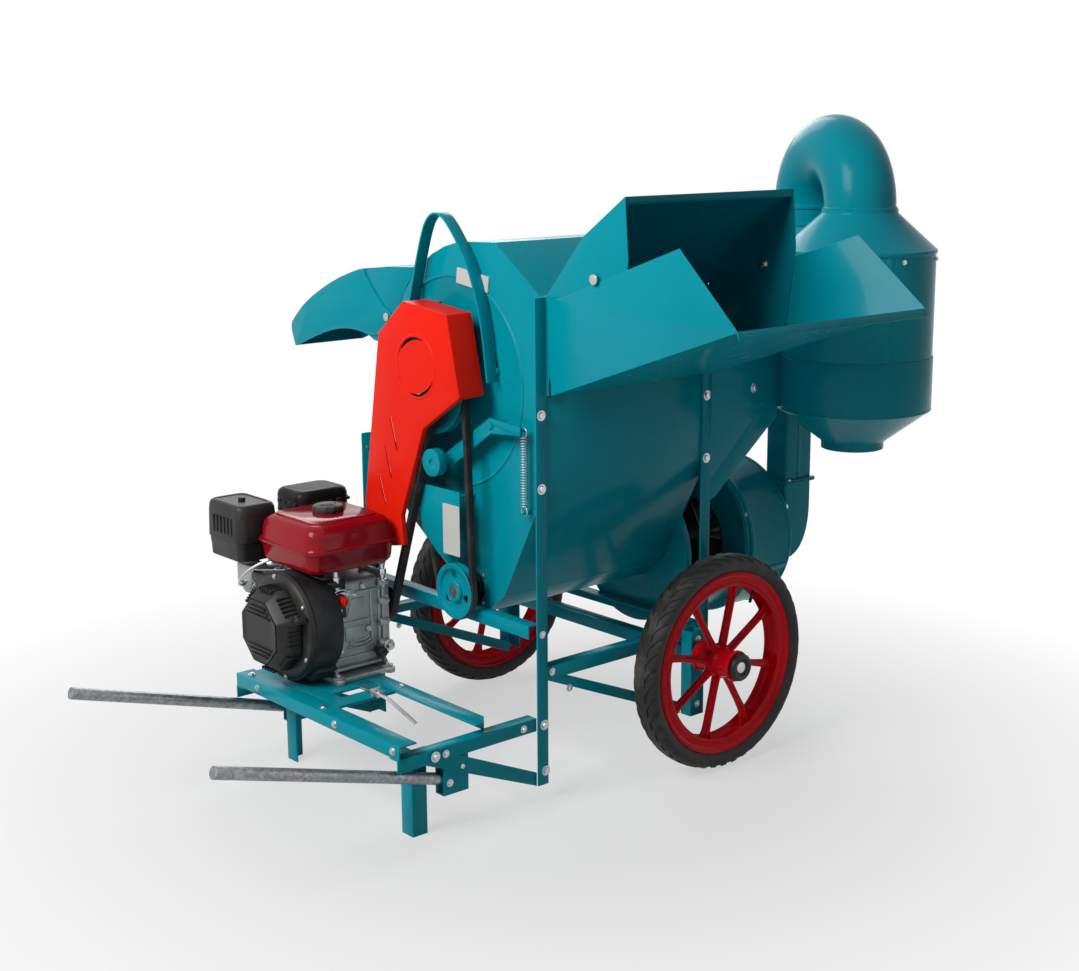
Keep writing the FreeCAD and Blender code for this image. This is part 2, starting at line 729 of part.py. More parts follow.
def pulley(x, y, z, radius, width, bore):
    """A pulley whose groove leaves the belt free."""
    groove = "(%s) / 2 + 0.4" % width
    edge = "(%s) / 2 + 2.4" % width
    floor = "%s - belt_depth" % radius
    return turned("x", x, y, z, [
        (bore, "0 - (%s)" % edge), (radius, "0 - (%s)" % edge), (radius, "0 - (%s)" % groove), (floor, "0 - (%s)" % groove),
        (floor, groove), (radius, groove), (radius, edge), (bore, edge)])


def belt(x, yA, zA, radiusA, yB, zB, radiusB, width):
    """A vee belt over two pulleys: each pulley's wrap and two runs, drawn as hulls by their tangents."""
    ya, za, ra, yb, zb, rb = [number(v) for v in (yA, zA, radiusA, yB, zB, radiusB)]
    import math
    gap = math.hypot(yb - ya, zb - za)
    along = math.degrees(math.atan2(zb - za, yb - ya))
    lean = math.degrees(math.acos((ra - rb) / gap))
    outer, hollow = [], []
    for points, extra in ((outer, 2), (hollow, -7.5)):
        for y, z, radius, first, last in ((yA, zA, radiusA, along + lean, along + 360 - lean),
                                          (yB, zB, radiusB, along - lean, along + lean)):
            for i in range(25):
                a = first + (last - first) * i / 24
                points.append(("%s + (%s + %g) * cos(%.4f)" % (y, radius, extra, a), "%s + (%s + %g) * sin(%.4f)" % (z, radius, extra, a)))
    start = "%s - (%s) / 2" % (x, width)
    return cut(plate("x", start, width, outer), plate("x", "%s - 1" % start, "%s + 2" % width, hollow))


node(pulley("main_belt_x", "0", "drum_height", "main_pulley_radius", "main_belt_width", "drum_shaft_radius"), "drum_pulley")
node(pulley("fan_belt_x", "0", "drum_height", "fan_drive_radius", "fan_belt_width", "drum_shaft_radius"), "fan_drive_pulley")
node(pulley("fan_belt_x", "blower_y", "blower_height", "fan_pulley_radius", "fan_belt_width", "blower_shaft_radius"), "blower_pulley")
crankEnd = rod("x", "0 - 460", "crank_y", "crank_z", "crank_radius", "42")
node(group(pulley("main_belt_x", "crank_y", "crank_z", "engine_pulley_radius", "main_belt_width", "crank_radius"), crankEnd), "engine_pulley")
node(belt("main_belt_x", "0", "drum_height", "main_pulley_radius", "crank_y", "crank_z", "engine_pulley_radius", "main_belt_width"),
     "main_belt")
node(belt("fan_belt_x", "0", "drum_height", "fan_drive_radius", "blower_y", "blower_height", "fan_pulley_radius", "fan_belt_width"),
     "fan_belt")

# belt guard, hoop, belt cover and the idler with its spring
guardLine = [("35", "drum_height + 152"), ("0 - 96", "drum_height + 137"), ("0 - 130", "drum_height - 10"),
             ("0 - 20", "drum_height - 79"), ("56", "497"), ("50", "440"), ("150", "420"), ("173", "504"), ("114", "drum_height + 87")]
face = plate("x", "guard_front", "wall", guardLine)
deep = foldedSheet("x", "guard_front", "guard_depth", [("112", "drum_height + 87"), ("34", "drum_height + 150"),
                                                        ("0 - 94", "drum_height + 135"), ("0 - 128", "drum_height - 10")])
shallow = foldedSheet("x", "guard_front", "11", [
    ("0 - 123.4", "drum_height + 10"), ("0 - 128", "drum_height - 10"), ("0 - 20", "drum_height - 77"), ("58", "497"), ("52", "440"),
    ("150", "422"), ("171", "504"), ("112", "drum_height + 87"), ("96", "drum_height + 100.2")])
louvreRing = ring("x", "guard_front - 2.5", "0 - 2", "drum_height + 34", "55", "49", "3.5")
louvres = [common(louvreRing, box("guard_front - 5", y, "drum_height + 22", "10", "40", "60")) for y in ("18", "0 - 60")]
slots = []
for y, z in (("20", "drum_height - 113"), ("52", "drum_height - 153"), ("84", "drum_height - 193")):
    slot = tilted(atDatum("Box", Length="10", Width="4", Height="70"), "x", "0 - 18", "guard_front - 4", y, z)
    slots.append(slot)
foot = box("guard_front + guard_depth - 8", "36", "drum_height + 127", "0 - guard_depth - guard_front + body_left + 8", "5", "23")
node(cut(fuse(face, deep, shallow, *louvres, foot), *slots), "belt_guard")
hoopRise = [("90", 145), ("72", 207), ("45", 282), ("28", 303), ("10", 311), ("0 - 10", 307), ("0 - 30", 291), ("0 - 58", 259),
            ("0 - 90", 213), ("0 - 122", 127), ("0 - 138", 13)]
hoop = foldedSheet("x", "body_left - 29", "angle_side", [(y, "drum_height + %d" % rise) for y, rise in hoopRise], "4")
hoopFeet = [rod("x", "body_left - 4.5", y, "drum_height + %d" % rise, "5", "4.5") for y, rise in (("86", 162), ("0 - 135", 32))]
node(fuse(hoop, *hoopFeet), "guard_hoop")
coverPlate = plate("x", "fan_belt_x - 11", "wall", [("0 - 84", "560"), ("0 - 84", "446"), ("0 - 20", "430"), ("30", "470"), ("46", "560")])
coverPosts = [rod("x", "fan_belt_x - 9", y, z, "4", "body_left - fan_belt_x + 9") for y, z in (("0 - 60", "545"), ("20", "520"))]
node(fuse(coverPlate, *coverPosts), "fan_belt_cover")
armPlate = plate("x", "body_left - 31", "5", [("0 - 232", "682"), ("0 - 150", "676"), ("0 - 30", "597"), ("0 - 14", "600"), ("0 - 14", "620"),
                                             ("0 - 145", "704"), ("0 - 232", "698")])
rollerPin = rod("x", "main_belt_x - 6", "0 - 26.5", "610", "6", "body_left - 31 - main_belt_x + 6")
tailPin = rod("x", "body_left - 31", "0 - 224", "690", "3", "20")
pivotHole = rod("x", "body_left - 60", "0 - 150", "690", "6.05", "60")
idlerRoller = ring("x", "main_belt_x - 9", "0 - 26.5", "610", "26", "6.05", "18")
node(group(cut(fuse(armPlate, rollerPin, tailPin), pivotHole), idlerRoller), "idler_arm")
idlerPivot = fuse(rod("x", "body_left - 34", "0 - 150", "690", "6", "34"), rod("x", "body_left - 25.5", "0 - 150", "690", "10", "25.5"))
node(group(idlerPivot, rod("x", "body_left - 22", "0 - 225", "539", "3", "22")), "idler_pins")
coil = doc.addObject("Part::Helix", "Coil")
bind(coil, "Radius", "6")
bind(coil, "Height", "129")
bind(coil, "Pitch", "129 / 27")
put(coil, "body_left - 16", "0 - 224.5", "550")
wire = doc.addObject("Part::Circle", "Wire")
wire.Radius = 1
wire.Placement.Rotation = turns["y"]
put(wire, "body_left - 10", "0 - 224.5", "550")
spring = doc.addObject("Part::Sweep", "Spring")
spring.Sections = [wire]
spring.Spine = (coil, ["Edge1"])
spring.Solid = True
spring.Frenet = True
hooks = []
for z, middle in (("539", "542.8"), ("690", "686.2")):
    eye = doc.addObject("Part::Torus", "Eye")
    eye.Radius2 = 1
    bind(eye, "Radius1", "8")
    eye.Placement.Rotation = turns["x"]
    hooks.append(put(eye, "body_left - 16", "0 - 224.5", middle))
node(group(spring, *hooks), "tension_spring")

# lower shaft with the auger and the blower
lowerShaft = rod("x", "fan_belt_x - 8", "blower_y", "blower_height", "blower_shaft_radius", "casing_left + casing_width + 14 - fan_belt_x + 8")
auger = []
for i in range(int(sizes["auger_flights"])):
    flight = ring("x", "body_left + 40 + %d * 44" % i, "blower_y", "blower_height", "auger_radius", "blower_shaft_radius", "3")
    auger.append(flight)
tube = ring("x", "body_left + 30", "blower_y", "blower_height", "blower_shaft_radius + 8", "blower_shaft_radius", "body_width + 60")
node(group(lowerShaft, fuse(tube, *auger)), "auger_shaft")
hubPlate = ring("x", "casing_left + casing_width - 14", "blower_y", "blower_height", "impeller_radius", "blower_shaft_radius", "3")
hubTube = ring("x", "casing_left + casing_width - 60", "blower_y", "blower_height", "blower_shaft_radius + 9", "blower_shaft_radius", "46")
blade = atDatum("Box", Length="92", Width="impeller_radius - 20", Height="3")
bind(blade, "Placement.Base.y", "18")
blades = around("x", blade, "impeller_blades", "0", "casing_left + casing_width - 105", "blower_y", "blower_height")
node(fuse(hubPlate, hubTube, *blades), "blower_impeller")
casingWall = ring("x", "casing_left", "blower_y", "blower_height", "casing_radius", "casing_radius - wall", "casing_width")
casingEnd = ring("x", "casing_left + casing_width - wall", "blower_y", "blower_height", "casing_radius", "blower_shaft_radius + 4", "wall")
casingInlet = ring("x", "casing_left", "blower_y", "blower_height", "casing_radius", "80", "wall")
outletHole = box("casing_left + casing_width - 5", "duct_front - 22", "322", "10", "duct_depth - 4", "118")
node(cut(fuse(casingWall, casingEnd, casingInlet), outletHole), "blower_casing")
suctionTop = box("body_left + body_width + 14", "0 - 220", "352", "casing_left - body_left - body_width - 24", "140", "278")
suctionStart = "body_left + body_width"
suctionLength = "casing_left - body_left - body_width"
suctionWall = ring("x", suctionStart, "blower_y", "blower_height + 6", "suction_radius", "suction_radius - wall", suctionLength)
suctionEnd = ring("x", suctionStart, "blower_y", "blower_height + 6", "suction_radius", "56", "wall")
node(cut(fuse(suctionWall, suctionEnd), suctionTop), "suction_drum")
bearings.append(ring("x", "casing_left + casing_width", "blower_y", "blower_height", "30", "blower_shaft_radius + shaft_gap", "10"))
bearings.append(bearingOut("body_left", "blower_y", "blower_height", "blower_shaft_radius - 4", "blower_shaft_radius + shaft_gap"))
node(group(*bearings), "shaft_bearings")

# duct from the blower up to the cyclone
ductY = "duct_front - 24"
elbowLine = [("casing_left + casing_width", "316"), ("400", "324"), ("428", "362"), ("440", "420"), ("440", "elbow_top"),
             ("360", "elbow_top"), ("360", "446"), ("casing_left + casing_width", "446")]
elbowHollow = [("casing_left + casing_width - 1", "318"), ("399", "326"), ("426", "363"), ("438", "420"), ("438", "elbow_top + 1"),
               ("362", "elbow_top + 1"), ("362", "444"), ("casing_left + casing_width - 1", "444")]
elbow = cut(plate("y", ductY, "duct_depth", elbowLine), plate("y", "%s + wall" % ductY, "duct_depth - 2 * wall", elbowHollow))
riser = box("360", ductY, "elbow_top", "80", "duct_depth", "925 - elbow_top")
seam = box("358.5", "%s - 6" % ductY, "elbow_top", "87.5", "duct_depth + 12", "5")
riserTube = cut(fuse(riser, seam), box("362", "%s + wall" % ductY, "elbow_top - 1", "76", "duct_depth - 2 * wall", "927 - elbow_top"))
node(group(elbow, riserTube), "riser_duct")
legX = "cyclone_x + pipe_spacing * sin(pipe_angle)"
legY = "cyclone_y + pipe_spacing * cos(pipe_angle)"


def ductLoft(less):
    low = outline("z", "925", [("360 + %s" % less, "%s + %s" % (ductY, less)), ("440 - %s" % less, "%s + %s" % (ductY, less)),
                               ("440 - %s" % less, "%s + duct_depth - %s" % (ductY, less)), ("360 + %s" % less, "%s + duct_depth - %s" % (ductY, less))], True)
    ring8 = outline("z", "1010", [("%s + (pipe_radius - %s) * cos(%g)" % (legX, less, a), "%s + (pipe_radius - %s) * sin(%g)" % (legY, less, a))
                                  for a in [225 + 22.5 * i for i in range(16)]], True)
    loft = doc.addObject("Part::Loft", "Loft")
    loft.Sections = [low, ring8]
    loft.Solid = True
    loft.Ruled = True
    return loft


transition = cut(ductLoft("0"), ductLoft("wall"))


def bend(radius):
    result = doc.addObject("Part::Torus", "Bend")
    bind(result, "Radius1", "pipe_spacing / 2")
    bind(result, "Radius2", radius)
    result.Angle3 = 180
    turn = FreeCAD.Rotation(FreeCAD.Vector(0, 0, 1), 90 - sizes["pipe_angle"]).multiply(FreeCAD.Rotation(FreeCAD.Vector(1, 0, 0), 90))
    result.Placement.Rotation = turn
    return put(result, "cyclone_x + pipe_spacing / 2 * sin(pipe_angle)", "cyclone_y + pipe_spacing / 2 * cos(pipe_angle)", "pipe_foot")


farLeg = ring("z", legX, legY, "1010", "pipe_radius", "pipe_radius - wall", "pipe_foot - 1010")
node(group(transition, fuse(cut(bend("pipe_radius"), bend("pipe_radius - wall")), farLeg)), "cyclone_pipe")

# cyclone
node(turned("z", "cyclone_x", "cyclone_y", "0", [
    ("cone_foot_radius", "cone_foot"), ("cone_foot_radius", "cone_foot + 14"), ("cyclone_radius", "barrel_bottom"), ("cyclone_radius", "barrel_top"),
    ("pipe_radius + 2", "pipe_foot - 8"), ("pipe_radius + 2", "pipe_foot"), ("pipe_radius - 2", "pipe_foot"), ("pipe_radius - 2", "pipe_foot - 9"),
    ("cyclone_radius - wall", "barrel_top - 1"), ("cyclone_radius - wall", "barrel_bottom + 1"),
    ("cone_foot_radius - wall", "cone_foot + 15"), ("cone_foot_radius - wall", "cone_foot")]),
     "cyclone_body")
band = ring("z", "cyclone_x", "cyclone_y", "band_bottom", "cyclone_radius + 2", "cyclone_radius", "band_height")
wing = box("body_left + body_width + 3", "0 - 269", "band_bottom + 12", "cyclone_x - body_left - body_width - 90", "angle_wall", "band_height - 32")
barrelBore = rod("z", "cyclone_x", "cyclone_y", "band_bottom - 5", "cyclone_radius", "band_height + 10")
ductStrap = box("370", "cyclone_y + cyclone_radius - 3", "820", "40", "0 - cyclone_y - cyclone_radius + 3 + duct_front - 24", "40")
strap = cut(ductStrap, rod("z", "cyclone_x", "cyclone_y", "800", "cyclone_radius", "100"))
wingFoot = "body_left + body_width + 3"
wingBrace = plate("y", "0 - 269", "angle_wall", [(wingFoot, "544"), (wingFoot, "504"), ("70", "511"), ("109", "543"),
                                                 ("243", "648"), ("246", "band_bottom + 13"), ("206", "band_bottom + 13")])
node(group(fuse(band, cut(fuse(wing, wingBrace), barrelBore)), strap), "cyclone_band")

# engine
case = fuse(box("0 - 592", "90", "200", "146", "165", "196"), box("0 - 600", "58", "frame_top", "134", "197", "10"))
caseBore = rod("x", "0 - 460", "crank_y", "crank_z", "crank_radius + shaft_gap", "20")

head = [box("0 - 574 + %d" % (i * 9), "255", "236", "4", "86", "150") for i in range(12)]
cylinderHead = fuse(box("0 - 560", "255", "250", "84", "80", "130"), *head)
shroudRing = ring("x", "0 - 668", "crank_y", "crank_z", "shroud_radius", "shroud_radius - 3", "76")
shroudFace = ring("x", "0 - 668", "crank_y", "crank_z", "shroud_radius", "recoil_radius - 8", "3")

recoil = turned("x", "0 - 716", "crank_y", "crank_z", [("0", "0"), ("recoil_face_radius", "0"), ("recoil_radius", "26"), ("recoil_radius", "48"),
                                                     ("recoil_radius - 3", "48"), ("recoil_radius - 3", "27"), ("recoil_face_radius - 2", "3"), ("0", "3")])
ropeGuide = rod("y", "0 - 679", "62.3", "337", "6", "14")
node(fuse(recoil, ropeGuide), "recoil_cover")


def tank(x, y, z, length, depth, height, slope):
    block = doc.addObject("Part::Wedge", "Tank")
    for prop, text in (("Xmin", "0"), ("Xmax", length), ("Ymin", "0"), ("Ymax", height), ("Zmin", "0"), ("Zmax", depth),
                       ("X2min", slope), ("X2max", "%s - %s" % (length, slope)), ("Z2min", slope), ("Z2max", "%s - %s" % (depth, slope))):
        bind(block, prop, text)
    block.Placement.Rotation = FreeCAD.Rotation(FreeCAD.Vector(1, 0, 0), 90)
    return put(block, x, "%s + %s" % (y, depth), z)


upper = tank("tank_left + 6", "tank_front + 6", "tank_seam + 2", "tank_length - 12", "tank_depth - 12", "tank_top - tank_seam - 2", "12")
flange = box("tank_left", "tank_front", "tank_seam - 2", "tank_length", "tank_depth", "4")
lower = doc.addObject("Part::Wedge", "TankPan")
for prop, text in (("Xmin", "10"), ("Xmax", "tank_length - 22"), ("Ymin", "0"), ("Ymax", "tank_seam - 2 - tank_bottom"), ("Zmin", "10"),
                   ("Zmax", "tank_depth - 22"), ("X2min", "0"), ("X2max", "tank_length - 12"), ("Z2min", "0"), ("Z2max", "tank_depth - 12")):
    bind(lower, prop, text)
lower.Placement.Rotation = FreeCAD.Rotation(FreeCAD.Vector(1, 0, 0), 90)
put(lower, "tank_left + 6", "tank_front + 6 + tank_depth - 12", "tank_bottom")
neck = rod("z", "0 - 548", "155", "tank_top", "26", "6")
hollow = box("tank_left + 22", "tank_front + 22", "tank_bottom + 3", "tank_length - 44", "tank_depth - 44", "tank_top - tank_bottom - 6")
node(cut(fuse(upper, flange, lower, neck), hollow), "fuel_tank")
capHollow = rod("z", "0 - 548", "155", "tank_top", "26.4", "6.5")
node(cut(rod("z", "0 - 548", "155", "tank_top + 0.4", "cap_radius", "16"), capHollow), "fuel_cap")
tankFeet = [box(x, y, "396", "20", "20", "12") for x in ("0 - 590", "0 - 480") for y in ("100", "220")]
node(group(cut(case, caseBore), cylinderHead, *tankFeet), "engine_block")
node(cut(tank("0 - 680", "262", "402", "91", "127", "110", "8"), box("0 - 668", "274", "405", "67", "103", "103")), "air_cleaner")
muffler = cut(tank("0 - 542", "262", "400", "120", "96", "118", "6"), box("0 - 532", "272", "403", "100", "76", "112"))
node(fuse(muffler, box("0 - 525", "276", "386", "34", "34", "15")), "muffler")
node(fuse(box("0 - 655", "262", "330", "46", "70", "72"), rod("x", "0 - 610", "300", "362", "14", "36")), "carburettor")
lever = fuse(box("0 - 634", "62", "405.5", "5", "30", "2"), box("0 - 634", "48", "405.5", "12", "14", "2"))
node(lever, "throttle_lever")
switchBody = rod("y", "0 - 578", "76", "350", "12", "14")
node(group(fuse(shroudRing, shroudFace), switchBody), "fan_shroud")
node(rod("y", "0 - 578", "62", "350", "9", "13.7"), "engine_switch")
node(rod("y", "0 - 490", "66", "232", "11", "23.7"), "oil_dipstick")
node(box("0 - 693", "50", "330", "24", "12", "14"), "starter_grip")

# write the sub-parts
doc.recompute()
bad = []
for obj in doc.Objects:
    if "Invalid" in obj.State or "Error" in obj.State:
        bad.append("%s %s" % (obj.Name, obj.State))
for obj in nodes:
    if obj.Shape.isNull() or not obj.Shape.isValid():
        bad.append(obj.Label)
if bad:
    raise RuntimeError("unsound: " + ", ".join(bad))
os.makedirs("parts", exist_ok=True)
for obj in nodes:
    obj.Shape.exportStep("parts/%s.step" % obj.Label)
print("wrote", len(nodes), "sub-parts")
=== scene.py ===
import json
import math
import bpy
from mathutils import Matrix, Vector

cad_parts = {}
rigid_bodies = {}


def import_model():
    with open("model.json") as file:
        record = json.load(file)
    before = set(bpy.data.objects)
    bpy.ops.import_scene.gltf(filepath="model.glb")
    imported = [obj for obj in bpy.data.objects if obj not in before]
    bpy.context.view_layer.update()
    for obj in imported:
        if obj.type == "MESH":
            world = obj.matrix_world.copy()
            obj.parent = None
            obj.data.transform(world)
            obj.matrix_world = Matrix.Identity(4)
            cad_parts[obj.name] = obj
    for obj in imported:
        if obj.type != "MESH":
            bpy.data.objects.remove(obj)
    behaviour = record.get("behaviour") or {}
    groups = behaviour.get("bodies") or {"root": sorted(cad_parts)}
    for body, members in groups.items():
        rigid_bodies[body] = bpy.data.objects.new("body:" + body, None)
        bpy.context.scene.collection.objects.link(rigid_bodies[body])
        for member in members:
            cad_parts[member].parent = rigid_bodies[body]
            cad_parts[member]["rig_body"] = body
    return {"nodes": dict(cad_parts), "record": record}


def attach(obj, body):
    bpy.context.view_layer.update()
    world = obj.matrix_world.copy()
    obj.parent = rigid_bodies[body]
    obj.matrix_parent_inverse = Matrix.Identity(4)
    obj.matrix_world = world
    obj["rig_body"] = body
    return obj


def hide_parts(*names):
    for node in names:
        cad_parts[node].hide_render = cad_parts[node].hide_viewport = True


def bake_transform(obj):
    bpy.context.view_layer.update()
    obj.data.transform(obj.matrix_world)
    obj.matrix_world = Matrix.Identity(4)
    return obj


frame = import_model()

# places are written in millimetres from the ground under the middle of the axle
datum = Vector((258.3, 84.3, 0))
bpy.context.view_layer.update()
mergeDistance = 0.00002
flatAngle = math.radians(0.6)
bodyOf = {node: body for body, nodes in frame["record"]["behaviour"]["bodies"].items() for node in nodes}


def at(x, y, z):
    return (Vector((x, y, z)) + datum) / 1000


def mm(value):
    return value / 1000


# camera, floor and light

camera = {"place": (-2258, -2450, 1224), "heading": 40.696, "dip": 12.28, "roll": -0.406, "lens": 55.73,
          "sensor": 36, "reach": 60}
cam = bpy.data.objects.new("camera", bpy.data.cameras.new("camera"))
cam.data.lens = camera["lens"]
cam.data.sensor_width = camera["sensor"]
cam.data.clip_end = camera["reach"]
turn = Matrix.Rotation(math.radians(-camera["heading"]), 4,
                       "Z") @ Matrix.Rotation(math.radians(90 - camera["dip"]), 4, "X")
turn = turn @ Matrix.Rotation(math.radians(camera["roll"]), 4, "Z")
cam.matrix_world = Matrix.Translation(at(*camera["place"])) @ turn
bpy.context.collection.objects.link(cam)
bpy.context.scene.camera = cam
bpy.context.scene.view_settings.view_transform = "Standard"
print("camera placed")


# small helpers

def deselectAll():
    if bpy.context.mode != "OBJECT":
        bpy.ops.object.mode_set(mode="OBJECT")
    bpy.ops.object.select_all(action="DESELECT")


def choose(piece):
    deselectAll()
    piece.select_set(True)
    bpy.context.view_layer.objects.active = piece
    return piece


def applyPlace():
    bpy.ops.object.transform_apply(location=True, rotation=True, scale=True)


def addModifier(piece, kind, **settings):
    # add a modifier with its settings and apply it
    choose(piece)
    modifier = piece.modifiers.new(kind.lower(), kind)
    for name, value in settings.items():
        setattr(modifier, name, value)
    bpy.ops.object.modifier_apply(modifier=modifier.name)
    return piece


def bevelled(piece, width, segments=2, angle=30, **settings):
    # round the edges sharper than an angle, by a width in millimetres
    return addModifier(piece, "BEVEL", width=mm(width), segments=segments, limit_method="ANGLE",
                       angle_limit=math.radians(angle), **settings)


def cutBy(piece, *cutters):
    for cutter in cutters:
        addModifier(piece, "BOOLEAN", operation="DIFFERENCE", object=cutter, solver="EXACT")
        bpy.data.objects.remove(cutter)
    return piece


def openEdit(piece, kind="VERT", action="SELECT"):
    choose(piece)
    bpy.ops.object.mode_set(mode="EDIT")
    bpy.ops.mesh.select_mode(type=kind)
    bpy.ops.mesh.select_all(action=action)


def closeEdit(outward=False):
    # leave edit mode, with every face turned outward first where that is asked
    if outward:
        bpy.ops.mesh.select_all(action="SELECT")
        bpy.ops.mesh.normals_make_consistent(inside=False)
    bpy.ops.object.mode_set(mode="OBJECT")


def bodyRide(piece, material, *nodes, body=None, slot=None, smooth=35):
    # finish a piece: material, smooth shading, and what it stands for or rides on
    choose(piece)
    applyPlace()
    bpy.ops.object.shade_smooth_by_angle(angle=math.radians(smooth))
    if material:
        piece.data.materials.clear()
        piece.data.materials.append(material)
    if nodes:
        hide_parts(*nodes)
    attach(piece, body or bodyOf[nodes[0]])
    return piece


def dressed(node, material, bevel=0.6, segments=2, angle=30):
    # a copy of a CAD node with merged corners and rounded edges
    source = frame["nodes"][node]
    deselectAll()
    piece = bpy.data.objects.new(node + "_dressed", source.data.copy())
    piece.matrix_world = source.matrix_world.copy()
    bpy.context.collection.objects.link(piece)
    openEdit(piece)
    bpy.ops.mesh.remove_doubles(threshold=mergeDistance)
    bpy.ops.mesh.dissolve_limited(angle_limit=flatAngle)
    closeEdit()
    if bevel:
        bevelled(piece, bevel, segments, angle)
    return bodyRide(piece, material, node, smooth=angle + 10)


# materials: three shared groups, then one material for each finish

def plug(tree, socket, value):
    # an output is linked, a number or a colour is set
    if isinstance(value, bpy.types.NodeSocket):
        tree.links.new(value, socket)
    else:
        socket.default_value = value


def addNode(tree, kind, values=None, **settings):
    node = tree.nodes.new(kind)
    for name, value in settings.items():
        setattr(node, name, value)
    for name, value in (values or {}).items():
        plug(tree, node.inputs[name], value)
    return node


def addNoise(tree, coords, scale, detail=3, roughness=0.5):
    values = {"Vector": coords, "Scale": scale, "Detail": detail, "Roughness": roughness}
    return addNode(tree, "ShaderNodeTexNoise", values).outputs["Fac"]


def remap(tree, source, low, high, outLow=0.0, outHigh=1.0):
    values = {"Value": source, "From Min": low, "From Max": high, "To Min": outLow, "To Max": outHigh}
    return addNode(tree, "ShaderNodeMapRange", values).outputs["Result"]


def calculate(tree, operation, first, second):
    return addNode(tree, "ShaderNodeMath", {0: first, 1: second}, operation=operation).outputs["Value"]


def times(tree, first, second):
    return calculate(tree, "MULTIPLY", first, second)


def plus(tree, first, second):
    return calculate(tree, "ADD", first, second)


def blendColour(tree, factor, first, second, mode="MIX"):
    return addNode(tree, "ShaderNodeMix", {0: factor, 6: first, 7: second}, data_type="RGBA",
                   blend_type=mode).outputs[2]


def objectPlace(tree):
    return addNode(tree, "ShaderNodeTexCoord").outputs["Object"]


def openGroup(name, inputs, outputs):
    # inputs are labels with their defaults; of the outputs only Color is a colour
    group = bpy.data.node_groups.new(name, "ShaderNodeTree")
    for label, value in inputs.items():
        kind = "NodeSocketColor" if isinstance(value, tuple) else "NodeSocketFloat"
        group.interface.new_socket(label, in_out="INPUT", socket_type=kind).default_value = value
    for label in outputs:
        kind = "NodeSocketColor" if label == "Color" else "NodeSocketFloat"
        group.interface.new_socket(label, in_out="OUTPUT", socket_type=kind)
    return group, group.nodes.new("NodeGroupInput").outputs, group.nodes.new("NodeGroupOutput").inputs


def makePaintGroup():
    # enamel: slow shifts of shade, orange peel, dust low down and dirt in patches
    group, start, end = openGroup("enamelSurface", {
        "Paint": (0, 0.3, 0.35, 1), "Dust": (0.25, 0.22, 0.18, 1), "Shade Shift": 0.12, "Dust Amount": 0.25,
        "Gloss Roughness": 0.28, "Peel Scale": 260.0}, ["Color", "Roughness", "Height"])
    coords = objectPlace(group)
    slow = addNoise(group, coords, 4.5, detail=4, roughness=0.6)
    patches = addNoise(group, coords, 22, detail=6, roughness=0.65)
    specks = addNoise(group, coords, 420, detail=2)
    peel = addNoise(group, coords, start["Peel Scale"], detail=1.5)
    darker = blendColour(group, 1.0, start["Paint"], (0.62, 0.66, 0.68, 1), "MULTIPLY")
    shift = times(group, remap(group, slow, 0.35, 0.68), start["Shade Shift"])
    shade = blendColour(group, times(group, shift, 2.6), start["Paint"], darker)
    height = addNode(group, "ShaderNodeSeparateXYZ", {"Vector": coords}).outputs["Z"]
    dirty = times(group, remap(group, patches, 0.47, 0.72), remap(group, height, 0.75, 0.03, 0.18, 1.0))
    dirty = times(group, dirty, start["Dust Amount"])
    dots = times(group, remap(group, specks, 0.66, 0.75, 0, 0.15), start["Dust Amount"])
    dust = calculate(group, "MAXIMUM", dirty, dots)
    plug(group, end["Color"], blendColour(group, dust, shade, start["Dust"]))
    rough = plus(group, start["Gloss Roughness"], remap(group, patches, 0.35, 0.7, -0.01, 0.04))
    plug(group, end["Roughness"], plus(group, rough, times(group, dust, 0.45)))
    plug(group, end["Height"], plus(group, peel, times(group, slow, 0.6)))
    return group


def makeEdgeWearAndSheenGroup():
    # edges, found where the rounded normal leaves the true one: a mask for rubbed wear, and on the teal paint
    # for a painted highlight along edges and folds
    group, start, end = openGroup("edgeWearAndSheen", {"Radius": 0.0014, "Amount": 0.6, "Break Up": 60.0}, ["Mask"])
    rounded = addNode(group, "ShaderNodeBevel", {"Radius": start["Radius"]}, samples=3).outputs["Normal"]
    true = addNode(group, "ShaderNodeNewGeometry").outputs["Normal"]
    dot = addNode(group, "ShaderNodeVectorMath", {0: rounded, 1: true},
                  operation="DOT_PRODUCT").outputs["Value"]
    chips = addNoise(group, objectPlace(group), start["Break Up"], detail=5, roughness=0.7)
    mask = times(group, remap(group, dot, 0.995, 0.86), remap(group, chips, 0.42, 0.6))
    plug(group, end["Mask"], times(group, mask, start["Amount"]))
    return group


def makeGrainGroup():
    # cast, moulded or rubber skin: fine grain over slow unevenness
    group, start, end = openGroup("grainedSkin", {
        "Shade": (0.03, 0.03, 0.03, 1), "Dust": (0.3, 0.27, 0.22, 1), "Grain Scale": 900.0, "Unevenness": 0.3,
        "Dust Amount": 0.2, "Base Roughness": 0.5}, ["Color", "Roughness", "Height"])
    coords = objectPlace(group)
    slow = addNoise(group, coords, 14, detail=5, roughness=0.65)
    grain = addNoise(group, coords, start["Grain Scale"])
    lighter = blendColour(group, 1.0, start["Shade"], (1.9, 1.85, 1.8, 1), "MULTIPLY")
    uneven = times(group, remap(group, slow, 0.35, 0.7), start["Unevenness"])
    shade = blendColour(group, uneven, start["Shade"], lighter)
    dust = times(group, remap(group, slow, 0.5, 0.74), start["Dust Amount"])
    plug(group, end["Color"], blendColour(group, dust, shade, start["Dust"]))
    rough = plus(group, start["Base Roughness"], remap(group, grain, 0.3, 0.7, -0.05, 0.08))
    plug(group, end["Roughness"], plus(group, rough, times(group, dust, 0.4)))
    plug(group, end["Height"], plus(group, grain, times(group, slow, 1.5)))
    return group


enamelSurface = makePaintGroup()
edgeWearAndSheen = makeEdgeWearAndSheenGroup()
grainedSkin = makeGrainGroup()


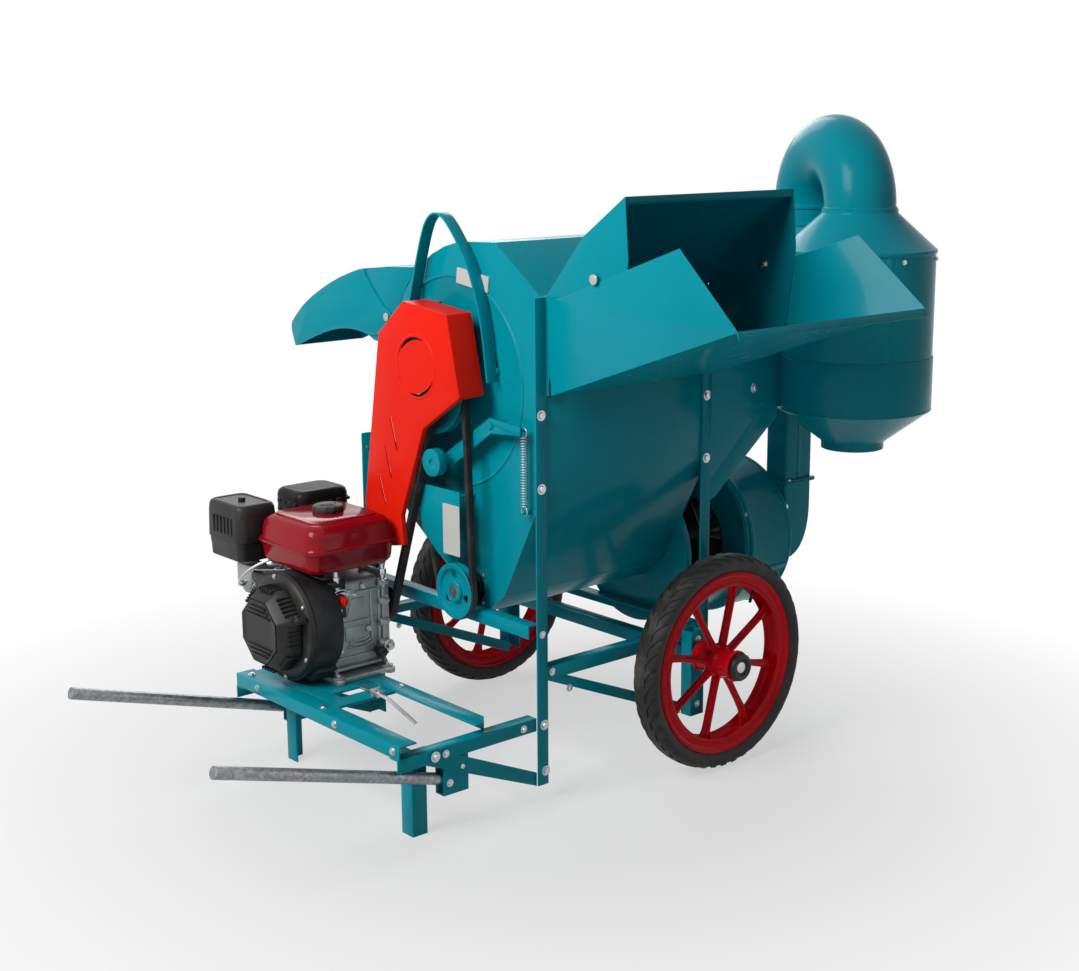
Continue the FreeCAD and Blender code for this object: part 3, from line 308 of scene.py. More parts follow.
def useGroup(tree, group, **values):
    node = addNode(tree, "ShaderNodeGroup", node_tree=group)
    for name, value in values.items():
        node.inputs[name.replace("_", " ")].default_value = value
    return node.outputs


def newMaterial(name, **settings):
    material = bpy.data.materials.new(name)
    material.use_nodes = True
    shader = material.node_tree.nodes["Principled BSDF"]
    for label, value in settings.items():
        shader.inputs[label.replace("_", " ")].default_value = value
    return material, material.node_tree, shader


def addBump(tree, shader, height, strength, distance):
    bump = addNode(tree, "ShaderNodeBump", {"Strength": strength, "Distance": distance, "Height": height})
    plug(tree, shader.inputs["Normal"], bump.outputs["Normal"])


def enamel(name, paint, wearAndSheenColour=(0.55, 0.58, 0.56, 1), wearAndSheen=0.45, rough=0.27, dust=0.25, shift=0.14,
           peel=0.12, coat=0.35):
    material, tree, shader = newMaterial(name, Coat_Weight=coat, Coat_Roughness=0.1, Specular_IOR_Level=0.05)
    surface = useGroup(tree, enamelSurface, Paint=paint, Gloss_Roughness=rough, Dust_Amount=dust,
                       Shade_Shift=shift)
    # the edge mask mixes in the edge colour: rubbed paint where that colour is grey, a painted highlight where
    # it is a lighter tint of the paint
    wearAndSheenMask = useGroup(tree, edgeWearAndSheen, Amount=wearAndSheen)["Mask"]
    plug(tree, shader.inputs["Base Color"], blendColour(tree, wearAndSheenMask, surface["Color"], wearAndSheenColour))
    plug(tree, shader.inputs["Roughness"], surface["Roughness"])
    if peel:
        addBump(tree, shader, surface["Height"], peel, 0.0006)
    return material


def grained(name, shade, rough=0.5, scale=900.0, uneven=0.3, dust=0.2, bump=0.25, depth=0.0004, metallic=0.0,
            wearAndSheen=0.0, wearAndSheenColour=(0.4, 0.4, 0.4, 1)):
    material, tree, shader = newMaterial(name, Metallic=metallic, Specular_IOR_Level=0.3)
    skin = useGroup(tree, grainedSkin, Shade=shade, Base_Roughness=rough, Grain_Scale=scale, Unevenness=uneven,
                    Dust_Amount=dust)
    colour = skin["Color"]
    if wearAndSheen:
        colour = blendColour(tree, useGroup(tree, edgeWearAndSheen, Amount=wearAndSheen)["Mask"], colour, wearAndSheenColour)
    plug(tree, shader.inputs["Base Color"], colour)
    plug(tree, shader.inputs["Roughness"], skin["Roughness"])
    addBump(tree, shader, skin["Height"], bump, depth)
    return material


# teal: its edge colour is a lighter teal, a painted highlight along edges and folds
tealEnamel = enamel("tealEnamel", (0.0, 0.31, 0.39, 1), wearAndSheenColour=(0.1, 0.5, 0.56, 1), wearAndSheen=0.4, rough=0.24,
                    dust=0.03, shift=0.07, peel=0.0, coat=0.07)
redEnamel = enamel("redEnamel", (0.93, 0.018, 0.006, 1), wearAndSheen=0.08, rough=0.3, dust=0.02, shift=0.04, peel=0.06,
                   coat=0.05)
wheelRed = enamel("wheelRedEnamel", (0.78, 0.002, 0.014, 1), wearAndSheen=0.16, rough=0.24, dust=0.04, shift=0.06,
                  coat=0.07)
tankRed = enamel("tankRedEnamel", (0.32, 0.001, 0.008, 1), wearAndSheen=0.06, rough=0.15, dust=0.02, shift=0.04,
                 peel=0.03, coat=0.3)
blackPaint = enamel("blackPaint", (0.012, 0.012, 0.013, 1), wearAndSheenColour=(0.3, 0.3, 0.3, 1), wearAndSheen=0.4, rough=0.4,
                    dust=0.2, coat=0.1)
castMetal = grained("castAluminium", (0.33, 0.34, 0.34, 1), rough=0.5, scale=700, uneven=0.35, dust=0.2,
                    bump=0.5, depth=0.0006, metallic=0.75, wearAndSheen=0.6, wearAndSheenColour=(0.7, 0.7, 0.7, 1))
blackPlastic = grained("blackPlastic", (0.012, 0.012, 0.013, 1), rough=0.42, scale=1400, uneven=0.25, dust=0.1,
                       bump=0.2)
tyreRubber = grained("tyreRubber", (0.014, 0.014, 0.014, 1), rough=0.62, scale=500, uneven=0.4, dust=0.3,
                     bump=0.35, depth=0.0008)
beltRubber = grained("beltRubber", (0.012, 0.012, 0.012, 1), rough=0.7, scale=1100, uneven=0.3, dust=0.25)
brightSteel = grained("brightSteel", (0.5, 0.5, 0.5, 1), rough=0.3, scale=300, uneven=0.3, dust=0.15, bump=0.15,
                      metallic=1.0)
zincSteel = grained("zincSteel", (0.47, 0.48, 0.49, 1), rough=0.3, scale=500, uneven=0.25, dust=0.1, bump=0.15,
                    metallic=1.0)


def makeGalvanized():
    # hot-dip zinc: flat flakes of spangle, each a little lighter or darker
    material, tree, shader = newMaterial("galvanizedPipe", Metallic=0.85)
    coords = objectPlace(tree)
    flakes = addNode(tree, "ShaderNodeTexVoronoi", {"Scale": 190.0, "Vector": coords},
                     feature="F1").outputs["Color"]
    parts = addNode(tree, "ShaderNodeSeparateColor", {"Color": flakes}).outputs
    stain = addNoise(tree, coords, 30, detail=6, roughness=0.7)
    flake = blendColour(tree, parts["Red"], (0.19, 0.21, 0.22, 1), (0.34, 0.36, 0.37, 1))
    stained = blendColour(tree, remap(tree, stain, 0.5, 0.75, 0, 0.6), flake, (0.13, 0.135, 0.135, 1))
    plug(tree, shader.inputs["Base Color"], stained)
    plug(tree, shader.inputs["Roughness"], remap(tree, parts["Green"], 0, 1, 0.32, 0.48))
    addBump(tree, shader, stain, 0.15, 0.0006)
    return material


galvanized = makeGalvanized()
print("shared materials made")


# floor, backdrop and soft light

def seenRays(tree):
    # one for the rays of the camera, through glass and off a gloss too
    rays = addNode(tree, "ShaderNodeLightPath").outputs
    either = calculate(tree, "MAXIMUM", rays["Is Camera Ray"], rays["Is Transmission Ray"])
    return calculate(tree, "MAXIMUM", either, rays["Is Glossy Ray"])


def makeBackdropMaterial():
    # a matt floor that turns to plain white for the camera away from the machine
    material, tree, shader = newMaterial("paleFloor", Roughness=0.9, Base_Color=(0.6, 0.6, 0.6, 1))
    away = addNode(tree, "ShaderNodeVectorMath", {0: objectPlace(tree)}, operation="LENGTH").outputs["Value"]
    share = times(tree, remap(tree, away, 0.5, 1.5, 0.55, 1.0), seenRays(tree))
    plain = addNode(tree, "ShaderNodeEmission", {"Color": (1, 1, 1, 1), "Strength": 1.0}).outputs["Emission"]
    mixed = addNode(tree, "ShaderNodeMixShader", {"Fac": share, 1: shader.outputs["BSDF"],
                                                  2: plain}).outputs["Shader"]
    plug(tree, tree.nodes["Material Output"].inputs["Surface"], mixed)
    return material


floorRadius = 14
lampAim = Vector((0, 0, 0.6))
deselectAll()
bpy.ops.mesh.primitive_circle_add(vertices=96, radius=floorRadius, fill_type="NGON", location=(0, 0, 0))
floorDisc = bpy.context.object
floorDisc.name = "floor"
floorDisc.data.materials.append(makeBackdropMaterial())

world = bpy.data.worlds.new("studio")
bpy.context.scene.world = world
world.use_nodes = True
tree = world.node_tree
tree.nodes.clear()
lit = addNode(tree, "ShaderNodeBackground", {"Color": (0.95, 0.97, 1, 1), "Strength": 0.1})
plain = addNode(tree, "ShaderNodeBackground", {"Color": (1, 1, 1, 1), "Strength": 1.0})
sides = {"Fac": seenRays(tree), 1: lit.outputs["Background"], 2: plain.outputs["Background"]}
mixed = addNode(tree, "ShaderNodeMixShader", sides)
addNode(tree, "ShaderNodeOutputWorld", {"Surface": mixed.outputs["Shader"]})

lamps = {
    "keyLight": {"place": (-3.0, -0.1, 2.9), "size": 1.8, "power": 118},
    "fillLight": {"place": (1.4, -3.4, 2.2), "size": 2.2, "power": 3},
    "rimLight": {"place": (1.8, 2.6, 2.6), "size": 2.0, "power": 40},
}
for name, lamp in lamps.items():
    light = bpy.data.lights.new(name, "AREA")
    light.size = lamp["size"]
    light.energy = lamp["power"]
    holder = bpy.data.objects.new(name, light)
    holder.location = lamp["place"]
    holder.rotation_euler = (lampAim - Vector(lamp["place"])).to_track_quat("-Z", "Y").to_euler()
    bpy.context.collection.objects.link(holder)
print("floor and lights placed")


# modelling helpers: each starts from a primitive and shapes it with edit-mode tools

axes = {"x": Matrix.Rotation(math.radians(90), 4, "Y"), "y": Matrix.Rotation(math.radians(-90), 4, "X"),
        "z": Matrix.Identity(4)}


def onRing(middle, radius, degrees):
    turn = math.radians(degrees)
    return middle[0] + radius * math.cos(turn), middle[1] + radius * math.sin(turn)


def across(axis, along, a=0, b=0):
    # a place given by its value along an axis and by the other two, in order
    values = [a, b]
    values.insert("xyz".index(axis), along)
    return Vector(values)


def mirrored(half):
    # a half outline of (across, along) and its mirror image, with a point on the middle line kept once
    return half + [(a, -b) for a, b in reversed(half) if b]


def outlineMesh(name, points, filled):
    # a ring of vertices moved to the given places
    deselectAll()
    fill = "NGON" if filled else "NOTHING"
    bpy.ops.mesh.primitive_circle_add(vertices=len(points), radius=mm(10), fill_type=fill)
    piece = bpy.context.object
    piece.name = name
    for vertex, place in zip(piece.data.vertices, points):
        vertex.co = Vector(place) / 1000
    return piece


def spun(name, profile, axis="z", centre=(0, 0, 0), steps=64, closed=True):
    # a profile of (radius, height) in millimetres, spun about an axis
    piece = outlineMesh(name, [(radius, 0, height) for radius, height in profile], False)
    if not closed:
        openEdit(piece, "EDGE", "DESELECT")
        closeEdit()
        for edge in piece.data.edges:
            edge.select = set(edge.vertices) == {0, len(profile) - 1}
        bpy.ops.object.mode_set(mode="EDIT")
        bpy.ops.mesh.delete(type="EDGE")
        closeEdit()
    openEdit(piece)
    bpy.ops.mesh.spin(steps=steps, angle=math.radians(360), center=piece.matrix_world.translation,
                      axis=(0, 0, 1))
    bpy.ops.mesh.select_all(action="SELECT")
    bpy.ops.mesh.remove_doubles(threshold=mergeDistance)
    closeEdit(outward=True)
    piece.matrix_world = Matrix.Translation(at(*centre)) @ axes[axis]
    applyPlace()
    return piece


def slab(name, axis, start, depth, points, bevel=0.0, segments=2):
    # a flat outline pushed out along an axis; the outline is in the other two axes, in order
    piece = outlineMesh(name, [across(axis, start, a, b) for a, b in points], True)
    openEdit(piece)
    bpy.ops.mesh.extrude_region_move(TRANSFORM_OT_translate={"value": across(axis, mm(depth))})
    closeEdit(outward=True)
    piece.location = datum / 1000
    applyPlace()
    if bevel:
        bevelled(piece, bevel, segments)
    return piece


def block(name, low, high, bevel=0.0, segments=2):
    # a box between two corners with rounded edges
    deselectAll()
    middle = (Vector(low) + Vector(high)) / 2
    bpy.ops.mesh.primitive_cube_add(size=1, location=at(*middle), scale=(Vector(high) - Vector(low)) / 1000)
    piece = bpy.context.object
    piece.name = name
    applyPlace()
    if bevel:
        bevelled(piece, bevel, segments)
    return piece


def bar(name, start, end, radius, sides=24, bevel=0.0):
    # a round bar between two places
    deselectAll()
    first, last = at(*start), at(*end)
    run = last - first
    bpy.ops.mesh.primitive_cylinder_add(vertices=sides, radius=mm(radius), depth=run.length,
                                        location=(first + last) / 2,
                                        rotation=run.to_track_quat("Z", "Y").to_euler())
    piece = bpy.context.object
    piece.name = name
    applyPlace()
    if bevel:
        bevelled(piece, bevel)
    return piece


def joined(name, pieces):
    deselectAll()
    for piece in pieces:
        piece.select_set(True)
    bpy.context.view_layer.objects.active = pieces[0]
    bpy.ops.object.join()
    pieces[0].name = name
    return pieces[0]


def copied(piece, matrix):
    # a copy with its own mesh, moved by a matrix
    again = piece.copy()
    again.data = piece.data.copy()
    bpy.context.collection.objects.link(again)
    again.data.transform(matrix)
    return again


def turnAbout(axis, degrees, centre):
    place = at(*centre)
    return Matrix.Translation(place) @ Matrix.Rotation(math.radians(degrees), 4,
                                                       axis.upper()) @ Matrix.Translation(-place)


def pipeAlong(name, points, radius, sides=10, smoothPath=True):
    # a tube along places, through a curve with a round bevel, made a mesh
    curve = bpy.data.curves.new(name, "CURVE")
    curve.dimensions = "3D"
    curve.bevel_depth = mm(radius)
    curve.bevel_resolution = max(1, sides // 4)
    curve.use_fill_caps = True
    spline = curve.splines.new("NURBS" if smoothPath else "POLY")
    spline.points.add(len(points) - 1)
    for point, place in zip(spline.points, points):
        point.co = (*at(*place), 1)
    if smoothPath:
        spline.order_u = 3
        spline.use_endpoint_u = True
        spline.resolution_u = 6
    piece = bpy.data.objects.new(name, curve)
    bpy.context.collection.objects.link(piece)
    choose(piece)
    bpy.ops.object.convert(target="MESH")
    return bpy.context.object


# wheels: rubber tyre with cross-ribbed tread, pressed rim, eight cast spokes and a barrel hub

wheel = {"height": 210, "spokes": 8, "firstSpoke": 30.5, "rimRadius": 174, "lugs": 44, "lean": 3.9,
         "tyreProfile": mirrored([(169, -13), (176, -17), (184, -25), (192, -28.5), (200, -28), (205.5, -23),
                                  (208.3, -15), (209.2, -7.5), (209.4, 0)]),
         "rimProfile": mirrored([(151, -20), (155, -20.5), (158, -18), (165, -18), (169, -22.5), (173, -24),
                                 (178, -22), (178.5, -18), (172, -16), (168, -12),
                                 (167, 0)]) + mirrored([(149.5, 18.5), (152, 16.5), (159, 14.5), (163, 10),
                                                        (163.5, 0)]),
         "hubProfile": mirrored([(12.8, -48), (28, -48), (30, -46), (30, -41), (27, -38), (26.5, -25),
                                 (29, -15), (33, -9)])}


def makeTyre(name, middle, lean):
    tyre = spun(name, wheel["tyreProfile"], axis="y", centre=(0, middle, wheel["height"]),
                steps=wheel["lugs"] * 2)
    centre = at(0, middle, wheel["height"])
    centreBand, treadStart = 2, 199

    def twistAt(away):
        # the ribs lean further the further they are from the middle line
        return math.radians(lean * wheel["lean"] * max(0, abs(away.y) * 1000 - centreBand) / 10)

    for vertex in tyre.data.vertices:
        away = vertex.co - centre
        vertex.co = centre + Matrix.Rotation(twistAt(away), 3, "Y") @ away
    openEdit(tyre, "FACE", "DESELECT")
    closeEdit()
    step = 2 * math.pi / (wheel["lugs"] * 2)
    for face in tyre.data.polygons:
        away = face.center - centre
        turn = math.atan2(away.x, away.z) - twistAt(away)
        band = int(round(turn / step - 0.5)) % 2
        onTread = math.hypot(away.x, away.z) * 1000 > treadStart and abs(away.y) * 1000 > 2 * centreBand
        face.select = onTread and band == (0 if away.y > 0 else 1)
    bpy.ops.object.mode_set(mode="EDIT")
    bpy.ops.mesh.extrude_region_shrink_fatten(TRANSFORM_OT_shrink_fatten={"value": mm(-2.6)})
    bpy.ops.mesh.inset(thickness=mm(0.7), depth=0)
    closeEdit()
    return bevelled(tyre, 0.6, segments=1, angle=40)


def makeSpoke(middle):
    # narrow at the hub, flared where it meets the rim, with a rib down its middle
    half = [(24, 10.5), (34, 8.2), (60, 7.0), (100, 6.6), (126, 7.8), (142, 11.5), (152, 17), (164, 24)]
    flat = slab("spoke", "y", middle - 4, 8, mirrored(half), bevel=2.2, segments=3)
    rib = slab("spokeRib", "y", middle - 9, 18, mirrored([(24, 4), (60, 3), (120, 3), (160, 5)]), bevel=1.6)
    spoke = joined("spoke", [flat, rib])
    spoke.data.transform(Matrix.Translation((0, 0, mm(wheel["height"]))))
    return spoke


def makeWheel(side, middle):
    rim = spun("rim", wheel["rimProfile"], axis="y", centre=(0, middle, wheel["height"]), steps=96)
    hub = spun("hub", wheel["hubProfile"], axis="y", centre=(0, middle, wheel["height"]), steps=48)
    first = makeSpoke(middle)
    pitch = 360 / wheel["spokes"]
    spokes = [copied(first, turnAbout("y", -wheel["firstSpoke"] - i * pitch, (0, middle, wheel["height"])))
              for i in range(wheel["spokes"])]
    bpy.data.objects.remove(first)
    inner, outer = [onRing((0, wheel["height"]), out, wheel["firstSpoke"] + pitch / 2)
                    for out in (128.65, 159.65)]
    valve = bar("valve", (outer[0], middle, outer[1]), (inner[0], middle - 6, inner[1]), 3.2, sides=12,
                bevel=0.6)
    bodyRide(joined(side + "WheelCasting", [rim, hub] + spokes), wheelRed, side + "_wheel", smooth=38)
    bodyRide(valve, tyreRubber, body=side + "_wheel", slot="tyre_rubber")
    bodyRide(makeTyre(side + "Tyre", middle, 1 if side == "near" else -1), tyreRubber, side + "_tyre",
             smooth=40)


def makeAxleNuts():
    # black caps with a rounded rim and a hollow face, a thin washer inside each wheel, and the bare axle end
    capProfile = [(13, 398.4), (22, 398.4), (24.5, 399.4), (26.6, 401.5), (27, 404.5), (26.4, 408),
                  (24.6, 410.6), (21.6, 411.9), (18.6, 411.4), (16.4, 409.4), (15, 406.6), (13, 406)]
    washerProfile = [(12.6, 300.3), (19.4, 300.3), (20, 300.9), (19.4, 301.6), (12.6, 301.6)]
    endProfile = [(0, 410.2), (7, 410.0), (10.2, 409.0), (12, 407.0), (12.6, 404.2), (0, 404.2)]
    caps, ends = [], []
    for side in (-1, 1):
        for kept, profile, steps in ((caps, capProfile, 48), (caps, washerProfile, 40), (ends, endProfile, 36)):
            placed = [(radius, side * height) for radius, height in profile]
            kept.append(spun("nutPart", placed, axis="y", centre=(0, 0, wheel["height"]), steps=steps,
                             closed=kept is caps))
    bodyRide(joined("axleNutCaps", caps), blackPlastic, "axle_nuts", smooth=38)
    bodyRide(joined("axleEnds", ends), brightSteel, body=bodyOf["axle_nuts"], slot="bright_steel", smooth=38)


for side, middle in (("near", -350), ("far", 350)):
    makeWheel(side, middle)
makeAxleNuts()
print("wheels made")


def roundedCorners(x0, x1, y0, y1, radius, steps=5):
    points = []
    right, left, far, near = x1 - radius, x0 + radius, y1 - radius, y0 + radius
    for start, middle in ((0, (right, far)), (90, (left, far)), (180, (left, near)), (270, (right, near))):
        points += [onRing(middle, radius, start + 90 * i / steps) for i in range(steps + 1)]
    return points


def stacked(name, points, levels, axis="z"):
    # an outline pushed up level by level, each drawn in or out; a level is its height, its scale across and,
    # where that differs, its scale deep
    levels = [(*level, level[1])[:3] for level in levels]
    middleA, middleB = [(min(values) + max(values)) / 2 for values in zip(*points)]
    first = levels[0]
    ring = [(middleA + (a - middleA) * first[1], middleB + (b - middleB) * first[2], 0) for a, b in points]
    piece = outlineMesh(name, ring, True)
    openEdit(piece)
    centre = (mm(middleA), mm(middleB), 0)
    for before, after in zip(levels, levels[1:]):
        bpy.ops.mesh.extrude_region_move(TRANSFORM_OT_translate={"value": (0, 0, mm(after[0] - before[0]))})
        bpy.ops.transform.resize(value=(after[1] / before[1], after[2] / before[2], 1), center_override=centre)
    closeEdit(outward=True)
    # local (a, b, height) to the machine: x -> (y, z, x), y -> (x, z, y), z -> (x, y, z)
    basis = {"z": Matrix.Identity(4), "x": Matrix(((0, 0, 1, 0), (1, 0, 0, 0), (0, 1, 0, 0), (0, 0, 0, 1))),
             "y": Matrix(((1, 0, 0, 0), (0, 0, 1, 0), (0, 1, 0, 0), (0, 0, 0, 1)))}[axis]
    piece.data.transform(Matrix.Translation(datum / 1000 + across(axis, mm(first[0]))) @ basis)
    if axis == "y":
        piece.data.flip_normals()
    return piece


# bolts: one hexagon bolt modelled once and copied to each place

def modelBolt(head, washer, length):
    # head and washer above the sheet, thread below it, pointing up
    parts = []
    for sides, radius, depth, height, bevel, segments in (
            (6, head, head * 0.62, washer * 0.12 + head * 0.31, head * 0.12, 2),
            (20, washer, washer * 0.16, washer * 0.08, washer * 0.04, 1),
            (14, head * 0.5, length, head * 0.75 - length / 2, head * 0.1, 1)):
        deselectAll()
        bpy.ops.mesh.primitive_cylinder_add(vertices=sides, radius=mm(radius), depth=mm(depth),
                                            location=(0, 0, mm(height)))
        parts.append(bevelled(bpy.context.object, bevel, segments, angle=50))
        applyPlace()
    return joined("boltPattern", parts)


boltPatterns = {"small": modelBolt(3.6, 4.9, 5), "medium": modelBolt(5.2, 7.2, 7),
                "large": modelBolt(6.8, 9.8, 9)}


def placeBolts(name, places, size="small"):
    # places are (x, y, z, direction) with the direction the head faces
    parts = []
    for i, (x, y, z, facing) in enumerate(places):
        spin = Matrix.Rotation(math.radians(17 + 41 * i), 4, "Z")
        aim = Vector(facing).to_track_quat("Z", "Y").to_matrix().to_4x4()
        parts.append(copied(boltPatterns[size], Matrix.Translation(at(x, y, z)) @ aim @ spin))
    bodyRide(joined(name, parts), zincSteel, body="machine", slot="galvanized_steel", smooth=30)


# engine: fuel tank, cap, air cleaner, muffler, shroud, recoil starter and its grip

engine = {"crank": (148, 302), "cap": (-548, 155, 502), "bosses": [(89, 366), (86, 330), (86, 288), (88, 246),
    (104, 208), (150, 205), (200, 205), (244, 212), (254, 262), (254, 320), (248, 376), (200, 386), (146, 386)],
          "pads": [(-562, 366), (-520, 366), (-573, 328), (-509, 280), (-573, 246)]}


def makeTank():
    points = roundedCorners(-651, -454, 56, 252, 30, steps=6)
    levels = [(408, 0.8), (408.6, 0.84), (411, 0.9), (416, 0.945), (424, 0.965), (447, 0.985),
              (450, 1.0), (450.4, 1.035), (452, 1.04), (455, 1.035), (455.6, 1.0), (458, 0.985),
              (478, 0.965), (488, 0.94), (495, 0.895), (499.5, 0.82), (501.5, 0.72), (502, 0.6)]
    tank = stacked("fuelTankShell", points, levels)
    panel = stacked("tankPanel", roundedCorners(-628, -478, 82, 228, 22, steps=5),
                    [(500.5, 1), (503.6, 0.99), (504.4, 0.96)])
    neck = spun("tankNeck", [(24, 0), (30, 0), (30, 3), (27, 5), (27, 7), (24, 7)], centre=(-548, 155, 501.5),
                steps=32)
    bodyRide(joined("fuelTankShell", [tank, panel, neck]), tankRed, "fuel_tank", smooth=42)


def makeCap():
    # moulded cap with finger lobes round its rim
    cap = spun("fuelCapMoulding", [(0, 17.5), (12, 17.5), (14, 16.4), (24, 16.2), (28.5, 14.5), (30, 11),
                                   (30.3, 2.5), (29.2, 0.8), (27, 0.8), (27, 7.2), (0, 7.2)],
               centre=engine["cap"], steps=72, closed=False)
    centre = at(*engine["cap"])
    rimStart, lobes, lobeDepth = 27.8, 12, 0.045
    for vertex in cap.data.vertices:
        away = vertex.co - centre
        if math.hypot(away.x, away.y) * 1000 > rimStart:
            squeeze = 1 - lobeDepth * (0.5 + 0.5 * math.cos(math.atan2(away.y, away.x) * lobes)) ** 3
            vertex.co = centre + Vector((away.x * squeeze, away.y * squeeze, away.z))
    grip = block("capGrip", (-565, 151, 517.5), (-531, 159, 519.8), bevel=1.8, segments=3)
    bodyRide(joined("fuelCapMoulding", [cap, grip]), blackPlastic, "fuel_cap", smooth=40)


def makeAirCleaner():
    # box and lid with a lap all round, a pressed top and a wing screw
    base = stacked("cleanerBase", roundedCorners(-678, -591, 264, 387, 16),
                   [(402, 0.9, 0.93), (404, 0.95, 0.96), (428, 0.97, 0.98), (430, 0.99), (446, 1)])
    lid = stacked("cleanerLid", roundedCorners(-680, -589, 262, 389, 18),
                  [(440, 0.985), (440.6, 1), (443, 1), (492, 0.975, 0.98), (503, 0.95, 0.965), (509, 0.9, 0.93),
                   (511.6, 0.82, 0.88), (512, 0.75, 0.82), (510, 0.72, 0.79), (509.4, 0.6, 0.7)])
    screw = bar("cleanerScrew", (-634, 325, 508), (-634, 325, 517), 7, bevel=1.5)
    ribs = [block("cleanerRib", (-681.5, y, 452), (-679, y + 3, 486), bevel=0.8)
            for y in (290, 303, 316, 329, 342, 355)]
    bodyRide(joined("airCleanerBox", [base, lid, screw] + ribs), blackPlastic, "air_cleaner", smooth=40)


def makeMuffler():
    # pressed guard with rows of slots over a welded box
    guard = stacked("mufflerGuard", roundedCorners(-542, -422, 262, 358, 20),
                    [(401, 0.93), (404, 0.97), (412, 1), (506, 1), (514, 0.96), (518, 0.88), (519.5, 0.75)])
    pipe = bar("mufflerFlange", (-508, 293, 388), (-508, 293, 404), 19, bevel=1.5)
    slats = []
    for z in range(424, 509, 17):
        for x in range(-532, -418, 19):
            slats.append(block("slat", (x, 260.4, z), (x + 12, 263.4, z + 6), bevel=1.2))
        for y in range(274, 350, 19):
            for x in (-543.6, -423.4):
                slats.append(block("slat", (x, y, z), (x + 3, y + 12, z + 6), bevel=1.2))
    bodyRide(joined("mufflerBox", [guard, pipe] + slats), blackPaint, "muffler", smooth=40)


def makeShroud():
    # blower housing: a deep drum with a turned-in lip, and the rising cover over the cylinder
    y, z = engine["crank"]
    drum = spun("shroudDrum", [(74, 0), (92, 0), (99, 1.5), (102, 5), (103, 12), (103, 70), (101, 76), (97, 76),
                               (98, 70), (98, 12), (92, 5), (74, 4)], axis="x", centre=(-668, y, z), steps=72)
    hood = slab("shroudHood", "x", -664, 66, [(96, 380), (118, 392), (196, 394), (238, 384), (250, 340),
                                              (248, 262), (236, 226), (212, 214), (150, 300)], bevel=7,
                segments=4)
    lip = spun("shroudLip", [(99, -1), (104, -1), (105.2, 1), (105.2, 5), (104, 7), (99, 7)], axis="x",
               centre=(-660, y, z), steps=72)
    skirt = slab("shroudSkirt", "x", -640, 46, [(66, 224), (92, 200), (200, 200), (226, 218), (150, 300)],
                 bevel=5, segments=3)
    boss = bar("switchBoss", (-578, 76, 350), (-578, 90, 350), 13, bevel=1.5)
    panel = block("switchPanel", (-600, 84, 312), (-560, 91, 388), bevel=4, segments=3)
    bodyRide(joined("fanShroudHousing", [drum, hood, lip, skirt, boss, panel]), blackPlastic, "fan_shroud",
             smooth=40)


def makeRecoil():
    # eight-sided starter cover, drawn in to its face, with raised bars above and below a bare middle band
    y, z = engine["crank"]
    ring = [onRing((y, z), 84, 22.5 + 45 * i) for i in range(8)]
    shell = stacked("recoilShell", ring, [(-668, 1), (-688, 0.985), (-694, 0.95), (-708, 0.83), (-713, 0.78),
                                          (-715, 0.74), (-714, 0.7), (-713.6, 0.5)], axis="x")
    bevelled(shell, 3, segments=3, angle=24)
    bars = []
    for row, half in ((-46, 26), (-38, 34), (-30, 40), (46, 26), (38, 34), (30, 40)):
        bars.append(block("recoilBar", (-717.4, y - half, z + row - 2), (-712, y + half, z + row + 2),
                          bevel=1.4))
    for i in range(8):
        for k in (-18, -9, 0, 9, 18):
            fin = block("recoilFin", (-700, y + 74, z + k - 1.7), (-672, y + 80.5, z + k + 1.7), bevel=1.2)
            fin.data.transform(turnAbout("x", 45 * i, (0, y, z)))
            bars.append(fin)
    guide = spun("ropeGuide", [(4, 0), (8.5, 0), (9.5, 2), (8.5, 5), (6, 8), (6, 16), (4, 16)], axis="y",
                 centre=(-679, 62.4, 337), steps=24)
    bodyRide(joined("recoilCoverMoulding", [shell, guide] + bars), blackPlastic, "recoil_cover", smooth=36)


def makeGrip():
    grip = stacked("starterGripMoulding", roundedCorners(-693, -669, 330, 344, 6),
                   [(50, 0.8, 0.7), (51.5, 0.95, 0.93), (54, 1), (58, 1), (60.5, 0.95, 0.93), (61.8, 0.6)],
                   axis="y")
    bodyRide(grip, blackPlastic, "starter_grip", smooth=40)


makeTank()
makeCap()
makeAirCleaner()
makeMuffler()
makeShroud()
makeRecoil()
makeGrip()
print("engine covers made")


# engine block: crankcase with its parting flange, ribs and bosses, finned cylinder, base and studs

